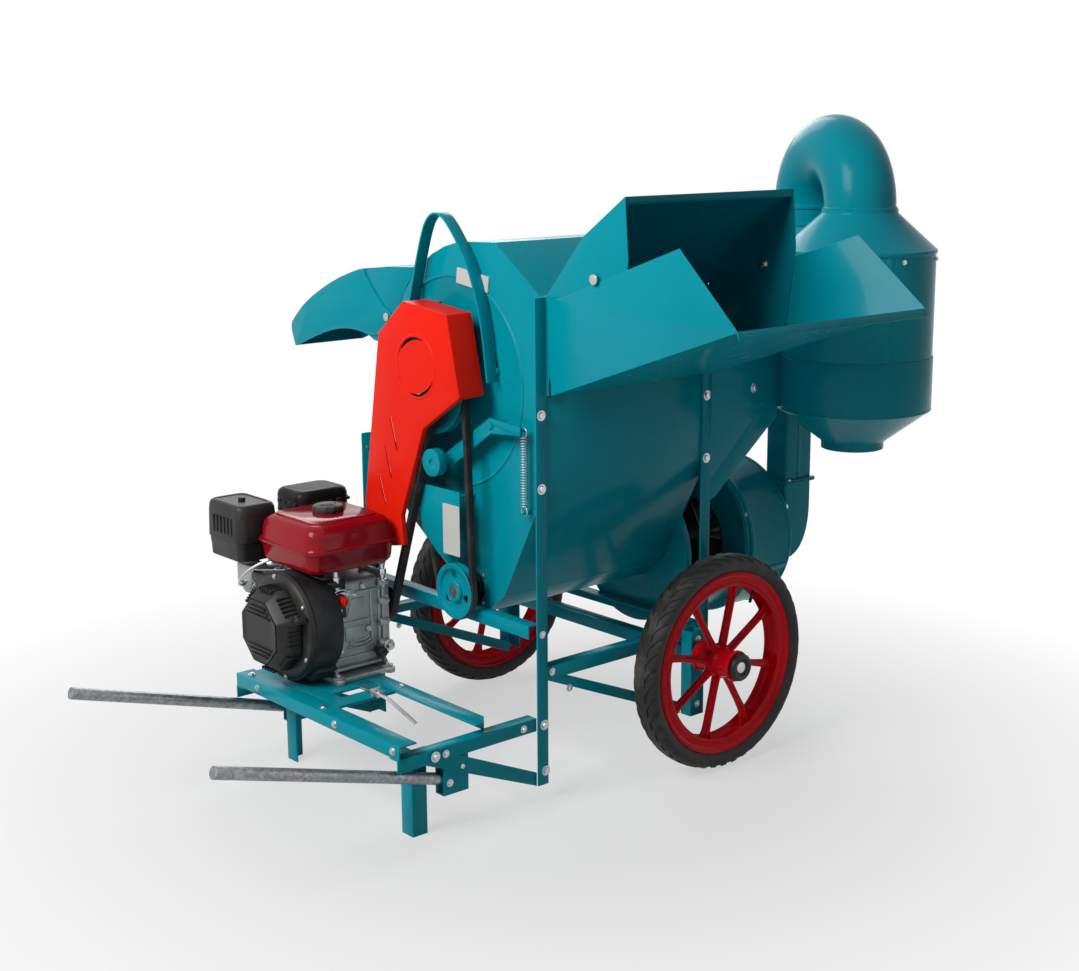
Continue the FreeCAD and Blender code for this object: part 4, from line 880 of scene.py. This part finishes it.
def makeCrankcase():
    case = slab("crankcase", "x", -588, 114, [(92, 214), (92, 372), (100, 380), (252, 380), (252, 214),
                                              (240, 204), (104, 204)], bevel=5, segments=3)
    flange = slab("caseFlange", "x", -477, 9, [(86, 222), (86, 374), (98, 388), (246, 388), (256, 374),
                                               (256, 222), (242, 203), (102, 203)], bevel=1.6)
    cover = stacked("caseCover", roundedCorners(90, 252, 208, 384, 26),
                    [(-470, 1), (-462, 0.99), (-455, 0.93), (-451, 0.84, 0.85), (-449, 0.7, 0.72),
                     (-448.4, 0.5)], axis="x")
    y, z = engine["crank"]
    seat = spun("shaftSeat", [(18, -8), (38, -8), (36, 0), (30, 3), (26, 4), (18, 4)], axis="x",
                centre=(-450, y, z), steps=48)
    parts = [case, flange, cover, seat]
    for by, bz in engine["bosses"]:
        parts.append(bar("boss", (-486, by, bz), (-464, by, bz), 7.5, sides=20, bevel=1.5))
    # raised work on the near side
    for x0, z0, x1, z1, out in ((-586, 352, -478, 358, 87), (-580, 297, -490, 301, 88),
                                (-584, 228, -480, 233, 87.5), (-503, 236, -498, 352, 88),
                                (-486, 216, -480, 376, 87), (-566, 308, -516, 344, 89.5),
                                (-560, 262, -512, 290, 89.5), (-586, 208, -480, 214, 85)):
        parts.append(block("caseRib", (x0, out, z0), (x1, 97, z1), bevel=1.6))
    for row, (low, high) in enumerate(((-556, -502), (-552, -504), (-546, -508))):
        z = 246 + row * 7
        parts.append(pipeAlong("caseStep", [(low, 91, z + 5), (low + 8, 90, z), (high - 8, 90, z),
                                            (high, 91, z + 5)], 2.4, sides=8))
    for x, z in engine["pads"]:
        parts.append(bar("casePad", (x, 86, z), (x, 94, z), 6.5, sides=20, bevel=1.2))
    return parts


def makeCylinder():
    parts = [block("cylinderCore", (-556, 250, 252), (-489, 336, 368), bevel=5, segments=3)]
    fin = roundedCorners(-574, -471, 236, 386, 14, steps=4)
    fins, firstFin, finPitch = 9, 258, 7.6
    for i in range(fins):
        parts.append(slab("fin", "y", firstFin + i * finPitch, 3.0, fin, bevel=0.7, segments=1))
    parts.append(block("cylinderHead", (-568, 326, 244), (-477, 336, 378), bevel=3))
    parts.append(stacked("valveCover", roundedCorners(-556, -489, 258, 352, 14),
                         [(334, 1), (338, 0.99), (340.4, 0.94), (341, 0.8)], axis="y"))
    return parts


def makeBase():
    parts = []
    outline = [(-600, 64), (-594, 58), (-586, 58), (-580, 66), (-486, 66), (-480, 58), (-472, 58), (-466, 64),
               (-466, 255), (-600, 255)]
    parts.append(slab("engineBase", "z", 190, 11, outline, bevel=2.2))
    for x in (-590, -476):
        parts.append(slab("baseWeb", "x", x - 3, 6, [(66, 198), (92, 226), (92, 198)], bevel=1.4))
        for y in (76, 238):
            parts.append(spun("basePad", [(0, 200), (11, 200), (11, 203.4), (10, 204), (0, 204)],
                              centre=(x, y, 0), steps=24, closed=False))
    return parts


bodyRide(joined("engineCasting", makeCrankcase() + makeCylinder() + makeBase()), castMetal, "engine_block",
         smooth=36)

engineBolts = [(x, y, 204, (0, 0, 1)) for y in (76, 238) for x in (-590, -476)]
placeBolts("engineBaseBolts", engineBolts, size="medium")
flangeBolts = [(-464, y, z, (1, 0, 0)) for y, z in engine["bosses"]]
caseBolts = [(x, 86, z, (0, -1, 0)) for x, z in engine["pads"]]
shroudBolts = [(-668, *onRing(engine["crank"], 96, angle), (-1, 0, 0))
               for angle in (25, 82, 146, 208, 262, 335)]
headBolts = [(x, 336, z, (0, 1, 0)) for x in (-562, -483) for z in (252, 370)]
placeBolts("engineCoverBolts", flangeBolts + caseBolts + shroudBolts + headBolts)


def makeStuds():
    # tank studs with nuts, drain plug on its boss, and the levers beside the switch
    parts = []
    for x, y, z in ((-578, 91, 372), (-473, 90, 370)):
        for name, low, high, radius, sides, bevel in (("stud", -14, 32, 5, 20, 0.8),
                                                      ("studNut", 10, 22, 8.6, 6, 1.0),
                                                      ("studCollar", -4, 2, 9, 24, 1.0)):
            parts.append(bar(name, (x, y, z + low), (x, y, z + high), radius, sides, bevel))
    parts.append(bar("drainBoss", (-468, 94, 240), (-468, 78, 240), 12, bevel=1.4))
    parts.append(bar("drainPlug", (-468, 79, 240), (-468, 70, 240), 8.5, sides=6, bevel=1.2))
    parts.append(slab("leverArm", "y", 81, 3, [(-600, 356), (-594, 362), (-548, 366), (-536, 356), (-541, 350),
                                               (-552, 356), (-592, 352)], bevel=0.8))
    parts.append(pipeAlong("governorRod", [(-598, 82, 352), (-596, 76, 366), (-582, 72, 374), (-562, 76, 368),
                                           (-553, 82, 350), (-551, 84, 328), (-558, 86, 312)], 1.5, sides=8))
    parts.append(bar("leverPin", (-560, 78, 359), (-560, 92, 359), 4, sides=16, bevel=0.8))
    return joined("engineStuds", parts)


bodyRide(makeStuds(), zincSteel, body="machine", slot="bright_steel", smooth=35)


def coilPath(start, end, radius, turns, steps=10):
    # places along a coil between two ends
    first, last = Vector(start), Vector(end)
    run = (last - first).normalized()
    side = run.orthogonal().normalized()
    other = run.cross(side)
    count = turns * steps
    path = []
    for i in range(count + 1):
        angle = 2 * math.pi * i / steps
        offset = side * radius * math.cos(angle) + other * radius * math.sin(angle)
        path.append(tuple(first.lerp(last, i / count) + offset))
    return path


def makeCarburettor():
    parts = [block("carbBody", (-652, 274, 352), (-612, 326, 392), bevel=5, segments=3)]
    parts.append(spun("floatBowl", [(0, 330), (6, 330), (8, 331), (14, 334), (17.5, 340), (18.5, 350),
                                    (20, 351), (20, 355), (0, 355)], centre=(-634, 300, 0), steps=40,
                      closed=False))
    parts.append(bar("carbThroat", (-632, 306, 386), (-632, 306, 404), 17, bevel=1.2))
    parts.append(bar("inletPipe", (-616, 300, 370), (-568, 300, 362), 14, bevel=1.2))
    parts.append(bar("bowlBolt", (-634, 300, 326.5), (-634, 300, 331), 5.5, sides=6, bevel=0.8))
    bodyRide(joined("carburettorBody", parts), castMetal, "carburettor", smooth=36)
    levers = [slab("chokeLever", "y", 262, 3, [(-655, 384), (-650, 390), (-622, 380), (-622, 372), (-648, 380)],
                   bevel=0.8),
              slab("throttlePlate", "y", 268, 3, [(-652, 352), (-636, 368), (-616, 366), (-610, 356),
                                                  (-630, 352), (-648, 344)], bevel=0.8),
              bar("shaft", (-634, 262, 364), (-634, 276, 364), 4, sides=16, bevel=0.6),
              bar("idleScrew", (-650, 258, 356), (-640, 276, 358), 4.2, sides=12, bevel=0.8),
              bar("linkRod", (-648, 264, 386), (-628, 150, 404), 1.5, sides=10),
              bar("fuelNut", (-662, 296, 352), (-650, 296, 356), 6, sides=6, bevel=0.8),
              pipeAlong("governorSpring", coilPath((-626, 262, 372), (-596, 232, 396), 3.4, 12), 0.7, sides=6)]
    bodyRide(joined("carburettorLevers", levers), zincSteel, body="machine", slot="bright_steel", smooth=35)
    fuelLine = pipeAlong("fuelPipe", [(-662, 296, 352), (-674, 288, 356), (-672, 262, 386), (-640, 236, 408),
                                      (-622, 222, 414)], 2.6, sides=10)
    bodyRide(fuelLine, brightSteel, body="machine", slot="bright_steel", smooth=40)


makeCarburettor()

# controls on the engine: switch and dipstick
switch = [
    spun("switchDisc", [(0, 62), (5, 62), (7.6, 63), (8.8, 65.5), (9, 75.7), (0, 75.7)], axis="y",
         centre=(-578, 0, 350), steps=40, closed=False),
    block("switchGrip", (-580.6, 58.5, 342), (-575.4, 64, 358), bevel=1.8, segments=3)]
bodyRide(joined("engineSwitchKnob", switch), redEnamel, "engine_switch", smooth=40)
dipstick = [
    spun("dipstickHead", [(0, 66), (7, 66), (10, 67.5), (11, 70), (11, 78), (9, 80), (6, 81), (6, 89.7),
                          (0, 89.7)], axis="y", centre=(-490, 0, 232), steps=40, closed=False),
    block("dipstickGrip", (-500, 62.5, 229.6), (-480, 68, 234.4), bevel=1.8, segments=3)]
bodyRide(joined("dipstickCap", dipstick), blackPlastic, "oil_dipstick", smooth=40)
print("engine block and controls made")


# cyclone, its pipe and the duct from the blower

cyclone = {"middle": (375, -355), "leg": (461, -152.5), "pipe": 70, "bendHeight": 1055}
duct = {"x": (360, 440), "y": (-196, -140), "corner": 5}
blower = (-58, 366)


def loopTube(name, loops, wall=2.0):
    # a skin through closed loops of places, each with the same number of points, then given thickness
    piece = outlineMesh(name, loops[0], False)
    count = len(loops[0])
    openEdit(piece)
    for places in loops[1:]:
        start = len(piece.data.vertices)
        closeEdit()
        for i, vertex in enumerate(piece.data.vertices):
            vertex.select = i >= start - count
        for edge in piece.data.edges:
            edge.select = all(i >= start - count for i in edge.vertices)
        bpy.ops.object.mode_set(mode="EDIT")
        bpy.ops.mesh.extrude_region_move(TRANSFORM_OT_translate={"value": (0, 0, 0.001)})
        bpy.ops.object.mode_set(mode="OBJECT")
        for i, place in enumerate(places):
            piece.data.vertices[start + i].co = Vector(place) / 1000
    openEdit(piece)
    closeEdit(outward=True)
    piece.location = datum / 1000
    applyPlace()
    addModifier(piece, "SOLIDIFY", thickness=mm(wall), offset=-1)
    return piece


def ductLoop(z):
    return [(x, y, z) for x, y in roundedCorners(*duct["x"], *duct["y"], duct["corner"], steps=7)]


def roundLoop(z, radius, middle):
    turns = [90 * corner + 90 * (i + 0.5) / 8 for corner in range(4) for i in range(8)]
    return [(*onRing(middle, radius, turn), z) for turn in turns]


def elbowLoop(outer, inner):
    # a rounded section standing across the line from the outer to the inner curve
    (xa, za), (xb, zb) = outer, inner
    run = math.hypot(xb - xa, zb - za)
    loop = []
    for along, y in roundedCorners(0, run, *duct["y"], duct["corner"], steps=7):
        loop.append((xa + (xb - xa) * along / run, y, za + (zb - za) * along / run))
    return loop


def makeDuct():
    curve = [((357.5, 316), (357.5, 446)), ((372, 316.6), (358, 446.2)), ((386, 318.6), (359, 446.6)),
             ((400, 325), (359.6, 447.4)), ((413, 336), (360, 448.6)), ((424, 352), (360, 450.4)),
             ((432, 371), (360, 453)), ((437, 392), (360, 456.5)), ((439.5, 414), (360, 461)),
             ((440, 436), (360, 467)), ((440, 480), (360, 480))]
    elbow = loopTube("ductElbow", [elbowLoop(*pair) for pair in curve])
    riser = loopTube("ductRiser", [ductLoop(z) for z in (485, 490, 700, 704, 920, 925)])
    rims = []
    for z in (478.5, 482.8):
        rims.append(slab("ductRim", "z", z, 3.4, roundedCorners(353, 447, -203, -133, 4, steps=3), bevel=0.8))
    rims.append(slab("ductRim", "y", -201, 5.6, [(354, 318), (362, 318), (362, 446), (354, 446)], bevel=0.8))
    seam = block("ductSeam", (396, -197.3, 488), (404, -195, 924), bevel=0.6)
    bodyRide(joined("riserDuctSheet", [elbow, riser, seam] + rims), tealEnamel, "riser_duct", smooth=40)


def makeBend():
    # the round pipe: bent from the cyclone's neck over to the far leg, then down to the square duct
    (ax, ay), (bx, by) = cyclone["middle"], cyclone["leg"]
    heading = math.atan2(by - ay, bx - ax)
    middle = ((ax + bx) / 2, (ay + by) / 2)
    reach = math.hypot(bx - ax, by - ay) / 2
    loops, steps, sides = [], 40, 48
    for i in range(steps + 1):
        angle = math.radians(180 * i / steps)
        out, up = -math.cos(angle), math.sin(angle)
        loop = []
        for k in range(sides):
            turn = 2 * math.pi * k / sides
            across, side = cyclone["pipe"] * math.cos(turn), cyclone["pipe"] * math.sin(turn)
            along = (reach + across) * out
            loop.append((middle[0] + along * math.cos(heading) - side * math.sin(heading),
                         middle[1] + along * math.sin(heading) + side * math.cos(heading),
                         cyclone["bendHeight"] + (reach + across) * up))
        loops.append(loop)
    parts = [loopTube("pipeBend", loops)]
    for place, z in ((cyclone["middle"], 1050), (cyclone["leg"], 1012), (cyclone["leg"], 1046)):
        parts.append(spun("pipeBand", [(68.5, 0), (71.6, 0), (72.6, 1.2), (72.6, 6.8), (71.6, 8), (68.5, 8)],
                          centre=(*place, z), steps=64))
    leg = spun("pipeLeg", [(68, 1009), (70.2, 1009), (70.2, 1056), (68, 1056)], centre=(*cyclone["leg"], 0),
               steps=64)
    change = loopTube("pipeChange", [ductLoop(925), roundLoop(1010, cyclone["pipe"], cyclone["leg"])])
    rim = slab("pipeRim", "z", 923.4, 3.2, roundedCorners(355, 445, -201, -135, 4, steps=3), bevel=0.8)
    bodyRide(joined("cyclonePipeSheet", parts + [leg, change, rim]), tealEnamel, "cyclone_pipe", smooth=38)


def makeCyclone():
    profile = [(59.5, 580), (60.5, 579.4), (61.8, 580), (62.2, 592), (63, 594.6), (147.5, 658.6),
               (150.6, 660.4), (152.3, 662), (152.6, 664.4), (151.6, 666.6), (150.2, 667.6), (150, 969),
               (151.4, 970), (152.4, 972.4), (152.4, 975), (151.2, 977.6), (149.2, 978.6), (75, 1046),
               (74.4, 1048), (74.4, 1054), (72, 1055), (69, 1055), (69, 1046), (147, 975.5), (147, 664),
               (60, 596)]
    shell = spun("cycloneShell", profile, centre=(*cyclone["middle"], 0), steps=96)
    lap = block("lap", (518, -361, 668), (526, -349, 969), bevel=0.8)
    lap.data.transform(turnAbout("z", -118, (*cyclone["middle"], 0)))
    bodyRide(joined("cycloneShell", [shell, lap]), tealEnamel, "cyclone_body", smooth=32)


makeDuct()
makeBend()
makeCyclone()


# blower: a drum-shaped case with rolled rims, a pressed ring on its side and a row of screws

def makeBlower():
    case = spun("blowerShell", [(80, 233), (156, 233), (160.5, 234), (162.6, 237), (162.6, 240), (160.6, 243),
                                (160, 246), (160, 344), (160.6, 347), (162.6, 350), (162.6, 353.4),
                                (160.5, 356.6), (156, 358), (132, 358), (128, 356), (112, 356), (108, 358),
                                (17, 358), (17, 356), (106, 356), (110, 354), (130, 354), (134, 356),
                                (156, 356), (158, 353), (158, 238), (155, 235), (80, 235)], axis="x",
                centre=(0, *blower), steps=96)
    collar = spun("suctionCollar", [(152.5, 226), (156, 226), (156, 233.4), (152.5, 233.4)], axis="x",
                  centre=(0, -58, 372), steps=96)
    laps = []
    for angle in (20, 200):
        laps.append(block("casingLap", (238, blower[0] + 159, 360), (352, blower[0] + 162.4, 372), bevel=0.8))
        laps[-1].data.transform(turnAbout("x", angle, (0, *blower)))
    bodyRide(joined("blowerShell", [case, collar] + laps), tealEnamel, "blower_casing", smooth=32)


makeBlower()
rim = []
for angle in range(10, 370, 36):
    y, z = onRing(blower, 150, angle)
    if not (-205 < y < -130 and 305 < z < 455):
        rim.append((358, y, z, (1, 0, 0)))
    rim.append((233, *onRing(blower, 157.5, angle), (-1, 0, 0)))
rim += [(x, y, 486.2, (0, 0, 1)) for x in (366, 434) for y in (-199.5, -136.5)]
rim += [(x, y, 926.6, (0, 0, 1)) for x in (358, 442) for y in (-198, -138)]
rim += [(358, -201, z, (0, -1, 0)) for z in (330, 380, 432)]
placeBolts("ductBolts", rim)
seam = [(*onRing(cyclone["middle"], 152.2, angle), 960, (*onRing((0, 0), 1, angle), 0))
        for angle in range(-62, 298, 45)]
placeBolts("cycloneBolts", seam)
print("cyclone, duct and blower made")


# bolts that hold the frame and the sheets together

def bothSides(places):
    # the same bolts on the near and the far side
    return [(x, -y, z, (0, -1, 0)) for x, y, z in places] + [(x, y, z, (0, 1, 0)) for x, y, z in places]


largeBolts = bothSides([(-374, 268, 150), (-371, 268, 61), (-377, 268, 590), (-623, 268, 153), (41, 269, 590)])
largeBolts += [(-377, -268, 722, (0, -1, 0)), (174, -269, 712, (0, -1, 0)), (41, -269, 712, (0, -1, 0)),
               (49, -398, 967, (-1, 0, 0))]
mediumBolts = bothSides([(-586.5, 260, 93), (-560, 260, 118), (-377, 268, 322), (41, 269, 246),
                         (-352, 266, 246), (0, 293, 108), (0, 293, 150), (0, 293, 240), (-600, 268, 153),
                         (-420, 264, 152), (-310, 265, 205), (-60, 265, 112)])
mediumBolts += [(x, y, 190, (0, 0, 1)) for x in (-684, -512) for y in (-15, 232)]
mediumBolts += [(-700, y, 178, (-1, 0, 0)) for y in (186, -74, -250)]
smallBolts = []
for height, middle, side in ((753, 0, 31), (366, blower[0], 27)):
    for y, z in [(middle + dy, height + dz) for dy in (side, -side) for dz in (side, -side)]:
        smallBolts += [(-366, y, z, (-1, 0, 0)), (53, y, z, (1, 0, 0))]
placeBolts("frameBoltsLarge", largeBolts, size="large")
placeBolts("frameBoltsMedium", mediumBolts, size="medium")
placeBolts("sheetBolts", smallBolts)
print("bolts placed")


# folded sheets: guard, hoop, covers and the straw deflector

def smoothed(points, rounds=2):
    # each corner is cut twice over, so that a row of places becomes a curve with its ends kept
    for _ in range(rounds):
        curve = [points[0]]
        for (a, b), (c, d) in zip(points, points[1:]):
            curve += [(a * 0.75 + c * 0.25, b * 0.75 + d * 0.25), (a * 0.25 + c * 0.75, b * 0.25 + d * 0.75)]
        points = curve + [points[-1]]
    return points


def strap(name, axis, start, depth, line, thickness, bevel=0.8):
    # a flat bar or sheet bent along a line drawn in the other two axes
    outer, inner = [], []
    for i, (a, b) in enumerate(line):
        before, after = line[max(0, i - 1)], line[min(len(line) - 1, i + 1)]
        run = Vector((after[0] - before[0], after[1] - before[1])).normalized() * thickness / 2
        outer.append((a - run.y, b + run.x))
        inner.append((a + run.y, b - run.x))
    return slab(name, axis, start, depth, outer + inner[::-1], bevel=bevel)


def panned(name, start, corners, wall=2.0, bevel=2.6):
    # a face across X whose rim is folded back; corners are (y, z, depth of the rim)
    piece = outlineMesh(name, [(start, y, z) for y, z, depth in corners], True)
    openEdit(piece, "EDGE")
    bpy.ops.mesh.extrude_edges_move(TRANSFORM_OT_translate={"value": (mm(1), 0, 0)})
    closeEdit()
    for vertex in piece.data.vertices[len(corners):]:
        y, z = vertex.co.y * 1000, vertex.co.z * 1000
        nearest = min(corners, key=lambda corner: math.hypot(corner[0] - y, corner[1] - z))
        vertex.co.x = mm(start + nearest[2])
    openEdit(piece)
    closeEdit(outward=True)
    if piece.data.polygons[0].normal.x > 0:
        piece.data.flip_normals()
    piece.data.transform(Matrix.Translation(datum / 1000))
    bevelled(piece, bevel, segments=3, angle=25, use_clamp_overlap=False)
    return addModifier(piece, "SOLIDIFY", thickness=mm(wall), offset=-1, use_even_offset=True)


guard = {"front": -450, "deep": 57, "rim": 11, "ring": (-2, 787),
         "slots": [((62, 622), (81, 684)), ((82, 565), (101, 627)), ((103, 509), (123, 570))]}


def crescent(middle, radius, start, end, width, steps=18):
    # a lance cut round a ring, widest in its middle
    outer, inner = [], []
    for i in range(steps + 1):
        angle = start + (end - start) * i / steps
        outer.append(onRing(middle, radius, angle))
        inner.append(onRing(middle, radius - 0.4 - width * math.sin(math.pi * i / steps), angle))
    return slab("crescent", "x", guard["front"] - 5, 12, outer + inner[::-1])


def makeGuard():
    # pressed cover with a deep hood over the pulleys, two lances round a ring and three slanted slots; black
    # sheets just behind the lances and slots are painted shade, so the openings look dark
    deep, rim = guard["deep"], guard["rim"]
    corners = [(35, 905, deep), (-96, 890, deep), (-130, 743, deep), (-123, 738.6, rim), (-20, 674, rim),
               (56, 497, rim), (50, 440, rim), (150, 420, rim), (173, 504, rim), (115.4, 832, rim),
               (114, 840, deep)]
    shell = panned("guardShell", guard["front"], corners)
    cutters = [crescent(guard["ring"], 55, 20, 118, 6.2), crescent(guard["ring"], 55, 200, 298, 6.2)]
    for (y0, z0), (y1, z1) in guard["slots"]:
        line = smoothed([(y0, z0), ((y0 + y1) / 2 + 0.6, (z0 + z1) / 2), (y1, z1)], 1)
        cutters.append(strap("slot", "x", guard["front"] - 5, 12, line, 3.2, bevel=0))
    cutBy(shell, *cutters)
    y, z = guard["ring"]
    ridge = spun("guardRing", [(55.4, 0.6), (56.2, -1.2), (58, -1.5), (60, -0.9), (61.5, 0.6)], axis="x",
                 centre=(guard["front"], y, z), steps=72)
    lips = []
    for (y0, z0), (y1, z1) in guard["slots"]:
        lips.append(strap("slotLip", "x", guard["front"] - 1.3, 2.4, [(y0 + 3.2, z0 + 2), (y1 + 3.2, z1 - 2)],
                          2.4, bevel=1.0))
    foot = block("guardFoot", (-401, 26, 876), (-364.3, 31, 899), bevel=1.2)
    # painted shade: black sheets a few millimetres behind the openings stand for the shadow inside the hood
    paintedShadeSheets = [spun("paintedLanceShade", [(44, 6), (44, 5), (58, 5), (58, 6)], axis="x",
                    centre=(guard["front"], y, z), steps=48)]
    paintedShadeSheets += [strap("paintedSlotShade", "x", guard["front"] + 4.2, 1,
                      [(a - (c - a) * 0.1, b - (d - b) * 0.1), (c + (c - a) * 0.1, d + (d - b) * 0.1)], 9,
                      bevel=0.3) for (a, b), (c, d) in guard["slots"]]
    hem = strap("guardHem", "x", guard["front"] + deep - 1.5, 1.5,
                [(112, 838), (36, 899), (-91, 885), (-124, 745)], 6, bevel=0.5)
    bodyRide(joined("guardShell", [shell, ridge, foot, hem] + lips), redEnamel, "belt_guard", smooth=30)
    bodyRide(joined("paintedLanceShades", paintedShadeSheets), blackPaint, body="machine", slot="black_paint", smooth=30)


def makeHoop():
    # flat bar bent over the guard in one sweep, bolted to the panel by its two feet
    line = smoothed([(90, 898), (72, 960), (45, 1035), (28, 1056), (10, 1064), (-10, 1060), (-30, 1044),
                     (-58, 1012), (-90, 966), (-122, 880), (-138, 766)], 3)
    bow = strap("hoopBow", "x", -393, 25, line, 4, bevel=1.2)
    feet = [bar("hoopFoot", (-370, y, z), (-364.2, y, z), 6, sides=20, bevel=0.8)
            for y, z in ((86, 915), (-135, 785))]
    bodyRide(joined("hoopBow", [bow] + feet), tealEnamel, "guard_hoop", smooth=40)


def makeDeflector():
    # two curved cheeks and the sheet bent over them, open below
    over = smoothed([(275, 944), (300, 940), (385, 914), (483, 867), (530, 830), (549, 810), (532, 769)], 2)
    under = smoothed([(532, 768), (500, 779), (460, 794), (390, 816), (320, 824), (240, 811), (205, 834),
                      (187, 848), (186, 862), (196, 871), (210, 872), (268, 930)], 2)
    parts = [slab("cheek", "x", x, 2, over + under[1:], bevel=0.6) for x in (-366.5, -199.5)]
    parts.append(strap("roof", "x", -366.5, 169, over, 2.4, bevel=0.7))
    for x in (-367.2, -199.2):
        parts.append(strap("cheekHem", "x", x, 1.6, [(a, b + 2.2) for a, b in under[2:-14]], 4, bevel=0.7))
    bodyRide(joined("deflectorShell", parts), tealEnamel, "straw_deflector", smooth=32)


def makeBeltCover():
    plate = slab("coverPlate", "x", -418, 2, [(-84, 560), (-84, 446), (-78, 441), (-24, 430), (-16, 432),
                                              (30, 470), (46, 555), (42, 560)], bevel=0.7)
    posts = [bar("coverPost", (-416.5, y, z), (-364.2, y, z), 4, sides=16) for y, z in ((-60, 545), (20, 520))]
    bodyRide(joined("coverPlate", [plate] + posts), tealEnamel, "fan_belt_cover", smooth=32)


makeGuard()
makeHoop()
makeDeflector()
makeBeltCover()
print("guard, hoop and deflector made")


# pulleys: grooved rim, dished web and a hub, with holes through the web where asked

def makePulley(node, place, radius, half, bore, holes=0):
    x, y, z = place
    rim, floor, hub = half + 2.4, radius - 9, bore + 8
    if floor - hub > 16:
        dish = [(hub + 0.8, 2.8), (hub + 3, 1.8), (floor - 7, 1.8), (floor - 3.4, 3.2)]
    else:
        dish = [(hub + 0.8, rim - 2.4), (hub + 2, rim - 3), (floor - 3.6, rim - 3), (floor - 2.4, rim - 2.4)]
    side = [(bore + 0.1, rim), (hub - 1.5, rim), (hub, rim - 1.4)] + dish
    side += [(floor - 1.6, rim - 0.8), (floor - 0.4, rim), (radius - 0.8, rim), (radius, rim - 0.7),
             (radius, half + 0.7), (floor + 0.4, half - 0.8)]
    pulley = spun("pulley", mirrored(side), axis="x", centre=place, steps=72)
    for i in range(holes):
        hole = onRing((y, z), (hub + floor - 3) / 2, 360 * i / holes - 40)
        cutBy(pulley, bar("hole", (x - 12, *hole), (x + 12, *hole), (floor - hub) / 2 - 4, sides=24))
    bodyRide(pulley, tealEnamel, node, smooth=36)


makePulley("blower_pulley", (-407, -58, 366), 53, 6, 12.5, holes=3)
makePulley("fan_drive_pulley", (-407, 0, 753), 94, 6, 17.5, holes=5)
makePulley("drum_pulley", (-429, 0, 753), 44, 8, 17.5)
print("pulleys made")


# blank label places, thin plates with rounded corners and no text

labelVinyl = grained("labelVinyl", (0.62, 0.62, 0.6, 1), rough=0.35, scale=600, uneven=0.08, dust=0.12,
                     bump=0.05)


def labelPlate(centre, size, tilt, x, thickness=0.5):
    # an oblong standing across X, turned by its tilt
    points = roundedCorners(-size[0] / 2, size[0] / 2, -size[1] / 2, size[1] / 2, 2.5, steps=3)
    placed = [onRing(onRing(centre, a, tilt), b, tilt + 90) for a, b in points]
    return slab("labelPlate", "x", x, -thickness, placed, bevel=0.15, segments=1)


labels = [labelPlate((-69, 945), (92, 29), 8, -364.1, 4), labelPlate((-59, 485), (50, 96), 0, -418.1)]
bodyRide(joined("blankLabels", labels), labelVinyl, body="machine", slot="aluminium", smooth=30)
print("blank label plates placed")


# small hardware: web of the cyclone's wing with seams, adjusting rod, spring and the slit of the end panel

def makeWing():
    # the sheet between the near right post, the tray's shadow and the brace
    web = slab("wingWeb", "y", -268.6, 1.2, [(52, 546), (52, 791), (258, 789), (258, 664), (206, 677),
                                             (56, 545)], bevel=0.4)
    seams = [slab("valleySeam", "x", -364, 415, [(-268, 927.5), (-266, 924.5), (-254, 923.5), (-250.5, 928.5),
                                                 (-256, 929.5), (-264, 930)], bevel=0.8)]
    for x in (-364.4, 49):
        seams.append(block("throatJoint", (x, -268.5, 757), (x + 2.4, -262, 926), bevel=0.5))
        seams.append(block("throatTab", (x, -274.5, 756), (x + 2.2, -262, 785), bevel=0.5))
    bodyRide(joined("wingWeb", [web] + seams), tealEnamel, body="machine", slot="teal_paint", smooth=30)


def makeAdjuster():
    # threaded rod that draws the engine plate along, its lugs and the hook below
    rod = bar("adjusterRod", (-574, 22, 196), (-577, -40, 196), 4, sides=16, bevel=0.6)
    nuts = [bar("adjusterNut", (-577, y, 196), (-577, y - 6, 196), 7.5, sides=6, bevel=0.8) for y in (-24, -32)]
    hook = pipeAlong("adjusterHook", [(-576, -34, 196), (-574, -52, 194), (-568, -66, 186), (-560, -84, 172),
                                      (-552, -98, 160), (-546, -108, 150)], 3.6, sides=10)
    lug = block("adjusterLug", (-588, -28, 189.8), (-566, -23, 206), bevel=1.0)
    bodyRide(joined("engineAdjuster", [rod, hook, lug] + nuts), zincSteel, body="machine", slot="bright_steel",
             smooth=36)


def makeSpring():
    # a rounded copy of the spring, taken off every body and fixed where it stands
    spring = dressed("tension_spring", zincSteel, bevel=0)
    choose(spring)
    bpy.ops.object.parent_clear(type="CLEAR_KEEP_TRANSFORM")
    del spring["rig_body"]
    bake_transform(spring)


makeWing()
makeAdjuster()
makeSpring()
slit = strap("panelSlit", "x", -372, 14, [(-94, 892), (-134, 790)], 5)
bodyRide(cutBy(dressed("end_panel_left", tealEnamel, bevel=0.7), slit), tealEnamel, smooth=40, body="machine")
print("wing web, adjuster and spring made")


# the remaining CAD nodes: rounded edges and their finish

finishes = [
    (tealEnamel, 0.7, ["corner_posts", "body_rails", "axle_carriers", "engine_frame", "frame_legs_and_sockets",
                       "axle", "end_panel_right", "hood", "trough_panel", "front_panel", "feed_hopper",
                       "feed_tray", "straw_chute", "concave", "idler_arm", "idler_pins", "suction_drum",
                       "cyclone_band"]),
    (blackPaint, 0.8, ["engine_pulley", "shaft_bearings", "throttle_lever"]),
    (beltRubber, 0.5, ["main_belt", "fan_belt"]),
    (brightSteel, 0.4, ["drum_shaft", "threshing_drum", "auger_shaft", "blower_impeller"]),
    (galvanized, 0.5, ["near_handle", "far_handle"]),
    (zincSteel, 0.5, ["pivot_bolts"]),
]
for material, bevel, nodes in finishes:
    for node in nodes:
        dressed(node, material, bevel=bevel)
for pattern in boltPatterns.values():
    bpy.data.objects.remove(pattern)
print("frame nodes dressed")
